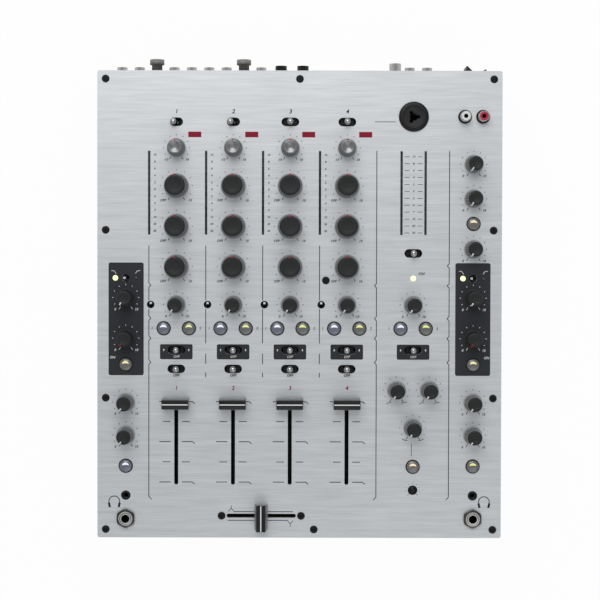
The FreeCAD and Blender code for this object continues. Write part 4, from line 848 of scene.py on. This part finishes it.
add_record_inserts()


# Rear wall

REAR_FIRST, REAR_PITCH, DIGITAL_FIRST, LAMP_SOCKET_X = -143.2, 14, 88.5, 76.8
REAR_ROWS = (66, 44)
POST_STEPS, PIN_STEPS = (2, 7), (0, 1, 3, 4, 5, 6, 8)
BLADE_WIDTH, PIN_WIDTH, PIN_REACH = 2.2, 12, 8.5


def rear_choice(low, high):
    """Pin sockets, posts and the lamp socket are plated, blades are brass, and the rest is black."""
    size = high - low
    middle = (low.x + high.x) / 2 / MM
    if size.x < BLADE_WIDTH * MM:
        return BRASS
    if any(abs(middle - REAR_FIRST - step * REAR_PITCH) < 1 for step in POST_STEPS):
        return POST_METAL
    small = high.y - REAR_WALL < PIN_REACH * MM and size.x < PIN_WIDTH * MM
    return NICKEL if small or abs(middle - LAMP_SOCKET_X) < 1 else BLACK_PLASTIC


dressed("rear_sockets", "rear_fittings", [NICKEL, POST_METAL, BRASS, BLACK_PLASTIC], rear_choice)


def add_rear_inserts():
    """A coloured ring in each rear pin socket, white above and red below."""
    columns = [REAR_FIRST + step * REAR_PITCH for step in PIN_STEPS]
    columns += [DIGITAL_FIRST + step * REAR_PITCH for step in (0, 1)]
    shape = bmesh.new()
    turned = Matrix.Rotation(-math.pi / 2, 4, "X")
    for column in columns:
        for height, slot in zip(REAR_ROWS, (0, 1)):
            place = Matrix.Translation((column * MM, REAR_WALL + PIN_RISE * MM, height * MM)) @ turned
            merge(shape, lathe(PIN_RING, 32), place, slot)
    piece("rear_inserts", shape, [WHITE_PLASTIC, RED_PLASTIC])


add_rear_inserts()


ROCKER_HALF, ROCKER_BACK, ROCKER_VALLEY, ROCKER_WING, ROCKER_HEIGHT = 8, -4, 4, 9.5, 22
ROCKER_AXLE, ROCKER_REST, ROCKER_ROUNDING = 1.5, math.radians(-10), 0.5


def add_rocker():
    """The mains rocker with its two wings, the left one out, on its axle."""
    pivot = AXLES["mains_rocker"]
    low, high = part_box("mains_rocker")
    place = at(pivot.x, pivot.y, (low.z + high.z) / 2, ROCKER_REST)
    outline = [(-ROCKER_HALF, ROCKER_BACK), (ROCKER_HALF, ROCKER_BACK), (ROCKER_HALF, ROCKER_WING),
               (0, ROCKER_VALLEY), (-ROCKER_HALF, ROCKER_WING)]
    end = [(x * MM, y * MM, -ROCKER_HEIGHT / 2 * MM) for x, y in outline]
    shape = bmesh.new()
    merge(shape, extruded(end, (0, 0, ROCKER_HEIGHT * MM), ROCKER_ROUNDING), place)
    half = (high.z - low.z) / 2 / MM
    merge(shape, lathe([(0, -half), (ROCKER_AXLE, -half), (ROCKER_AXLE, half), (0, half)], 24), place)
    piece("rocker_finished", shape, [BLACK_PLASTIC], "mains_rocker", ["mains_rocker"])


add_rocker()


# Printing

INKS = {"black": INK_BLACK, "grey": INK_GREY, "red": INK_RED, "white": INK_WHITE}
inks = {ink: bmesh.new() for ink in INKS}


def layer(ink, x, y, angle=0):
    """A place in the layer of an ink. White lies on the dark areas."""
    return at(x, y, PLATE_TOP + (2.5 if ink == "white" else 0.5) * PRINT, angle)


def block(ink, x, y, long, wide, angle=0):
    """A printed block, its length along an angle."""
    size = Matrix.Diagonal((long, wide, PRINT, 1))
    bmesh.ops.create_cube(inks[ink], size=1, matrix=layer(ink, x, y, angle) @ size)


def bar(ink, start, end, width):
    """A printed bar between two places."""
    start, end = Vector(start), Vector(end)
    middle, run = (start + end) / 2, end - start
    block(ink, middle.x, middle.y, run.length, width * MM, math.atan2(run.y, run.x))


def stroke(ink, points, width):
    """A printed line through places, each a column and a row in millimetres."""
    spots = [(x * MM, row(y)) for x, y in points]
    for start, end in zip(spots, spots[1:]):
        bar(ink, start, end, width)


def add_curve(shape, curve, place):
    """Add a curve to a shape as a mesh at a place, and free the curve."""
    holder = bpy.data.objects.new("curve", curve)
    mesh = bpy.data.meshes.new_from_object(holder)
    mesh.transform(place)
    shape.from_mesh(mesh)
    bpy.data.objects.remove(holder)
    bpy.data.curves.remove(curve)
    bpy.data.meshes.remove(mesh)


BOLD, FONT_SCALE, SLANT = 0.035, 1.35, 0.2


def words(ink, text, x, y, height):
    """Printed figures centred on a place."""
    curve = bpy.data.curves.new("figures", "FONT")
    curve.body = text
    curve.size = height * MM * FONT_SCALE
    curve.shear = SLANT
    curve.align_x = "CENTER"
    curve.align_y = "CENTER"
    curve.extrude = PRINT / 2
    curve.offset = height * BOLD * MM
    curve.resolution_u = 2
    add_curve(inks[ink], curve, layer(ink, x, y))


END_TICK = 1.5


def dial(ink, x, y, reach, length=0.9, width=0.5, count=11, sweep=2 * HALF_TURN):
    """Ticks round a knob, with longer ones at the two ends of its turn."""
    for step in range(count):
        turn = math.radians(90 + sweep / 2 - sweep * step / (count - 1))
        ahead = Vector((math.cos(turn), math.sin(turn)))
        long = END_TICK if step in (0, count - 1) else 0
        spot = Vector((x, y))
        bar(ink, spot + ahead * (reach - long) * MM, spot + ahead * (reach + length) * MM, width)


DIAL_REACH = {"tone": 12.2, "small": 9.8}
DIAL_FIGURES = {"tone": (10.7, -11.6), "small": (8.4, -9.4)}


def print_dials():
    """Ticks and end figures round every knob, and ticks round the trimmer."""
    for node in knob_nodes:
        spot = AXLES[node]
        kind = "tone" if node.endswith(TONE_KNOBS) else "small"
        ink = "white" if node.endswith(FILTER_KNOBS) else "black"
        dial(ink, spot.x, spot.y, DIAL_REACH[kind])
        if node.endswith("shape_knob"):
            continue
        across, up = DIAL_FIGURES[kind]
        least = "OFF" if kind == "tone" else "-10" if node.endswith("gain_knob") else "0"
        for sign, text in ((-1, least), (1, "10")):
            words(ink, text, spot.x + sign * across * MM, spot.y + up * MM, 2)
    dial("black", MASTER_X, row(TRIM_ROW), 5.3, 0.7, 0.34, 9, 270)


METER_FIGURES = ("10", "8", "6", "4", "2", "0", "2", "4", "7", "10", "20", "30")
METER_FIRST, METER_STEP, METER_SIDE = 118.4, 5.47, 17.1
METER_DROP, METER_TICK = 1.2, (3.2, 7.2)
NUMBER_ROW, FADER_NUMBER_ROW = 152.6, -66.2
LABEL_OFFSET, LABEL_ROW, LABEL_SIZE = 14.5, 134.5, (10.3 * MM, 4.4 * MM)
CUE_FIGURES = (("1", -19.3), ("2", 19))
ASSIGN_DROP, FILTER_DROP = 5.2, 5.3


def print_switches(x):
    """The figures that the channels and the master section share."""
    for text, across in CUE_FIGURES:
        words("black", text, x + across * MM, row(CUE_ROW), 1.9)
    words("white", "OFF", x, row(FILTER_ROW - FILTER_DROP), 2)


def print_channels():
    """The figures, the red label and the fader scale of each channel."""
    for number, x in zip(CHANNELS, CHANNEL_X):
        words("black", str(number), x, row(NUMBER_ROW), 3.4)
        words("red", str(number), x, row(FADER_NUMBER_ROW), 3.2)
        block("red", x + LABEL_OFFSET * MM, row(LABEL_ROW), *LABEL_SIZE)
        print_switches(x)
        words("black", "OFF", x, row(ASSIGN_ROW - ASSIGN_DROP), 2.1)
        for step, text in enumerate(METER_FIGURES):
            words("black", text, x - METER_SIDE * MM, row(METER_FIRST - step * METER_STEP), 1.7)
        print_fader_scale(x / MM)


FADER_STEPS = (-76.9, -92.7, -108.7, -124.8, -140.8)
SHORT_MARK, LONG_LEFT, LONG_RIGHT, HOOK = (4.6, 10.8), (-13.4, -4.4), (4.6, 12.8), (14.6, -1.7)
SHORT_WIDTH, LINE = 0.6, 0.65


def print_fader_scale(x):
    """Five marks on each side of a fader slot, every other one longer and hooked at its right end."""
    for step, y in enumerate(FADER_STEPS):
        if step % 2:
            for sign in (-1, 1):
                stroke("grey", [(x + sign * end, y) for end in SHORT_MARK], SHORT_WIDTH)
        else:
            stroke("grey", [(x + end, y) for end in LONG_LEFT], LINE)
            stroke("grey", [(x + end, y) for end in LONG_RIGHT] + [(x + HOOK[0], y + HOOK[1])], LINE)


POWER_OFFSET, POWER_ROW = 6.4, 24.6
SHAPE_OFFSET = 13
SHAPE_CURVES = (((-8.2, -78.6), (-6.4, -77.6), (-4, -77.4)), ((4, -78.4), (4.8, -77.4), (8.2, -77.2)))
CROSS_CURVE = ((4.4, -107.6), (6, -107.4), (8.4, -106.4))
SHAPE_LEAD, SOCKET_LEAD = ((-1.1, -110), (-1.1, -120)), ((59.4, 144.7), (75.8, 144.7))


def print_master():
    print_switches(MASTER_X)
    words("black", "ON", MASTER_X + POWER_OFFSET * MM, row(POWER_ROW), 2.2)
    x = MASTER_X / MM
    for step, text in enumerate(METER_FIGURES):
        y = METER_FIRST - METER_DROP - step * METER_STEP
        words("black", text, MASTER_X, row(y), 1.7)
        for sign in (-1, 1):
            stroke("grey", [(x + sign * end, y) for end in METER_TICK], 0.42)
    for sign in (-1, 1):
        for curve in SHAPE_CURVES:
            stroke("black", [(x + sign * SHAPE_OFFSET + across, y) for across, y in curve], 0.4)
        stroke("black", [(x + sign * across, y) for across, y in CROSS_CURVE], 0.5)
    stroke("grey", [(x + across, y) for across, y in SHAPE_LEAD], 0.45)
    stroke("grey", SOCKET_LEAD, 0.5)


JOG_HALF, JOG_REACH = 1.7, 1.6
FOOT_RISE, FOOT_REACH = 2.4, 2.2


def jogged(x, top, jogs, side):
    """A line down the plate with small jogs to one side."""
    points = [(x, top)]
    for y in jogs:
        points += [(x, y + JOG_HALF), (x + side * JOG_REACH, y), (x, y - JOG_HALF)]
    return points


def divider(x, top, bottom, jogs, side):
    """A dividing line with small jogs to one side and a hook at its foot."""
    foot = [(x, bottom + FOOT_RISE), (x + side * FOOT_REACH, bottom)]
    stroke("grey", jogged(x, top, jogs, side) + foot, LINE)


JOGS = (15.2, -10.9, -26.7, -45.7)
BALANCE_JOG = 31
SWITCH_GAP = 3.4
LEFT_DIVIDER, MASTER_DIVIDER, SIDE_DIVIDER = -119.2, 60.9, 118.4
LEFT_TOP, LEFT_FOOT, RIGHT_TOP, RIGHT_FOOT = 46.8, -154.6, 121.8, -154.9
CHANNEL_DIVIDERS = (-74.2, -29.2, 15.8)
CHANNEL_RUNS = ((LEFT_TOP, SWITCH_GAP), (-SWITCH_GAP, -30.6), (-38.8, -47), (-53.8, -57.6))


def print_dividers():
    """The dividing lines, with gaps where the send switches lie."""
    stroke("grey", jogged(LEFT_DIVIDER, LEFT_TOP, JOGS[:1], 1) + [(LEFT_DIVIDER, SWITCH_GAP)], LINE)
    divider(LEFT_DIVIDER, -SWITCH_GAP, LEFT_FOOT, JOGS[1:], 1)
    divider(MASTER_DIVIDER, RIGHT_TOP, RIGHT_FOOT, JOGS, -1)
    divider(SIDE_DIVIDER, RIGHT_TOP, RIGHT_FOOT, (BALANCE_JOG,) + JOGS, -1)
    for x in CHANNEL_DIVIDERS:
        for top, bottom in CHANNEL_RUNS:
            stroke("grey", ((x, top), (x, bottom)), LINE)


CROSS_LINES = (((-51.9, -164.3), (-4.9, -164.3)), ((-56.6, -171.2), (-9, -171.2)))
FORKS = ((-53.8, -161.6, 1), (-7, -174, -1))
FORK_REACH, FORK_DROP, FORK_WIDTH = 2.2, 2.5, 0.45


def print_crossfader():
    """Two lines along the crossfader and a forked mark at each end."""
    for line in CROSS_LINES:
        stroke("grey", line, 0.6)
    for x, y, turn in FORKS:
        drop = y - FORK_DROP * turn
        stroke("grey", ((x - FORK_REACH, drop), (x, y), (x + FORK_REACH, drop)), FORK_WIDTH)
        stroke("grey", ((x, y), (x, y + FORK_REACH * turn)), FORK_WIDTH)


def arc_points(x, y, reach, start, turn, count):
    """Places along an arc."""
    angles = [start + turn * step / count for step in range(count + 1)]
    return [(x + reach * math.cos(angle), y + reach * math.sin(angle)) for angle in angles]


SIGN_X, SIGN_ROW, SIGN_REACH = 146.6, -156.4, 4.3
SIGN_START, SIGN_TURN = 1.12 * math.pi, -1.24 * math.pi
CUP_TOP, CUP_FOOT, CUP_WIDTH = -1, (3.5, -4.6), 1.7


def print_headphone_signs():
    """A headband with two ear cups beside each headphone jack."""
    for sign in (-1, 1):
        x, y = sign * SIGN_X, SIGN_ROW
        stroke("black", arc_points(x, y, SIGN_REACH, SIGN_START, SIGN_TURN, 14), LINE)
        for side in (-1, 1):
            foot = (x + side * CUP_FOOT[0], y + CUP_FOOT[1])
            stroke("black", ((x + side * SIGN_REACH, y + CUP_TOP), foot), CUP_WIDTH)


PLATE_SIZE, PLATE_ROW, PLATE_CORNER = (27.8, 89.3), -11.45, 1.6
TAB_SIZE, TAB_ROW, TAB_CORNER = (25.8, 11.9), -37.4, 1.2
TAB_SLOT, SLOT_CORNER = (14, 6.8), 3.39
FILTER_COLUMN = 137.2
MODE_HOLE, BUTTON_HOLE, LAMP_HOLE, KNOB_HOLE = 3.05, 5.35, 1.6, 4
ON_OFFSET, ON_ROW = 10.6, -42
BEND = ((3.2, 26.8), (1, 26.6), (-0.6, 24.4))
TAB_MARK, TAB_MARK_HALF = 9.9, 0.8


def rounded_box(x, y, wide, tall, corner):
    """A box with round corners as one outline."""
    points = []
    for across, up, start in ((1, 1, 0), (-1, 1, 1), (-1, -1, 2), (1, -1, 3)):
        points += arc_points(x + across * (wide / 2 - corner), y + up * (tall / 2 - corner), corner,
                             start * math.pi / 2, math.pi / 2, 6)
    return points


def circle(x, y, reach):
    return arc_points(x, y, reach, 0, math.tau, 32)[:-1]


def print_area(shape, outlines):
    """Add a printed area, between an outline and the holes in it, to a shape."""
    curve = bpy.data.curves.new("area", "CURVE")
    curve.dimensions = "2D"
    curve.fill_mode = "BOTH"
    curve.extrude = PRINT
    for outline in outlines:
        spline = curve.splines.new("POLY")
        spline.points.add(len(outline) - 1)
        for point, (x, y) in zip(spline.points, outline):
            point.co = (x * MM, row(y), 0, 1)
        spline.use_cyclic_u = True
    add_curve(shape, curve, at(0, 0, PLATE_TOP + PRINT))


def print_filter_areas():
    """Dark areas behind the two filters and behind the filter toggles, open where the controls pass."""
    shape = bmesh.new()
    for name, sign in SIDES:
        x, side = sign * FILTER_COLUMN, sign * SIDE_X / MM
        holes = [circle(side, MODE_ROW, MODE_HOLE), circle(side, FILTER_ON_ROW, BUTTON_HOLE)]
        holes += [circle(side + lamp * MODE_LAMP, MODE_ROW, LAMP_HOLE) for lamp in (-1, 1)]
        knob_rows = [(AXLES[f"{name}_{knob}"].y - PLATE_Y) / MM for knob in FILTER_KNOBS]
        holes += [circle(side, y, KNOB_HOLE) for y in knob_rows]
        print_area(shape, [rounded_box(x, PLATE_ROW, *PLATE_SIZE, PLATE_CORNER)] + holes)
        words("white", "ON", (side + sign * ON_OFFSET) * MM, row(ON_ROW), 2)
        for lamp in (-1, 1):
            stroke("white", [(side + lamp * (MODE_LAMP + across), y) for across, y in BEND], 0.42)
    for x in [column / MM for column in CHANNEL_X + [MASTER_X]]:
        slot = rounded_box(x, FILTER_ROW, *TAB_SLOT, SLOT_CORNER)
        print_area(shape, [rounded_box(x, TAB_ROW, *TAB_SIZE, TAB_CORNER), slot])
        for sign in (-1, 1):
            mark = x + sign * TAB_MARK
            stroke("white", [(mark, FILTER_ROW + side * TAB_MARK_HALF) for side in (-1, 1)], 0.8)
    bmesh.ops.remove_doubles(shape, verts=shape.verts, dist=1e-7)
    piece("print_areas", shape, [INK_PLATE])


print_filter_areas()
print_dials()
print_channels()
print_master()
print_dividers()
print_crossfader()
print_headphone_signs()
for ink, material in INKS.items():
    piece(f"print_{ink}", inks[ink], [material])


# Floor, light and camera

FLOOR_HALF, FLOOR_GREY, FLOOR_PALE = 4, 0.86, 0.965


def floor_paper():
    """White paper: plain under the lamps, and pale to the camera with the shadow left on it."""
    material, tree, shader, _ = shader_of("floor_paper")
    wire(shader, {"Base Color": (FLOOR_GREY, FLOOR_GREY, FLOOR_GREY, 1), "Roughness": 0.9})
    rays = tree.nodes.new("ShaderNodeLightPath")
    seen = rays.outputs["Is Camera Ray"]
    for kind in ("Is Glossy Ray", "Is Transmission Ray"):
        either = tree.nodes.new("ShaderNodeMath")
        either.operation = "MAXIMUM"
        wire(either, {0: seen, 1: rays.outputs[kind]})
        seen = either.outputs["Value"]
    pale = tree.nodes.new("ShaderNodeEmission").outputs["Emission"]
    mix = tree.nodes.new("ShaderNodeMixShader")
    wire(mix, {0: level(tree, seen, 0, FLOOR_PALE), 1: shader.outputs["BSDF"], 2: pale})
    wire(tree.nodes["Material Output"], {"Surface": mix.outputs["Shader"]})
    return material


def add_floor():
    shape = bmesh.new()
    bmesh.ops.create_grid(shape, x_segments=1, y_segments=1, size=FLOOR_HALF)
    mesh = bpy.data.meshes.new("floor")
    shape.to_mesh(mesh)
    shape.free()
    mesh.materials.append(floor_paper())
    floor = linked("floor", mesh)


LAMP_AIM = (0, 0, 0.09)
# Place, size and energy
LAMPS = {"rear_key": ((-0.15, 1.0, 1.3), 1.2, 13), "front_fill": ((0.3, -1.2, 1.2), 1.5, 5)}


def add_lamp(name, place, size, energy):
    """A square lamp aimed at the plate."""
    light = bpy.data.lights.new(name, "AREA")
    light.size = size
    light.energy = energy
    lamp = linked(name, light)
    lamp.location = place
    lamp.rotation_euler = (Vector(LAMP_AIM) - Vector(place)).to_track_quat("-Z", "Y").to_euler()


SKY_COLOUR, SKY_STRENGTH = (0.97, 0.985, 1, 1), 0.39


def add_world():
    world = bpy.data.worlds.new("studio")
    world.use_nodes = True
    wire(world.node_tree.nodes["Background"], {"Color": SKY_COLOUR, "Strength": SKY_STRENGTH})
    bpy.context.scene.world = world


CAMERA_HEIGHT, CAMERA_COLUMN, CAMERA_ROW, CAMERA_TILT, CAMERA_ROLL = 1.08, 0.3, 49, 0.0164, 0.0021
FRAME_ROW, FRAME_WIDTH, SENSOR = 3.8, 0.4746, 36


def add_camera():
    """Nearly straight down from a little behind the middle, with the frame shifted over the plate."""
    camera = bpy.data.cameras.new("camera")
    camera.sensor_width = SENSOR
    camera.lens = SENSOR * CAMERA_HEIGHT / FRAME_WIDTH
    aim = CAMERA_ROW * MM - CAMERA_HEIGHT * math.tan(CAMERA_TILT)
    camera.shift_y = (FRAME_ROW * MM - aim) / FRAME_WIDTH
    holder = linked("camera", camera)
    holder.location = (CAMERA_COLUMN * MM, row(CAMERA_ROW), PLATE_TOP + CAMERA_HEIGHT)
    holder.rotation_euler = (-CAMERA_TILT, 0, CAMERA_ROLL)
    bpy.context.scene.camera = holder


add_floor()
add_world()
for name, settings in LAMPS.items():
    add_lamp(name, *settings)
add_camera()
bpy.context.scene.view_settings.view_transform = "Standard"
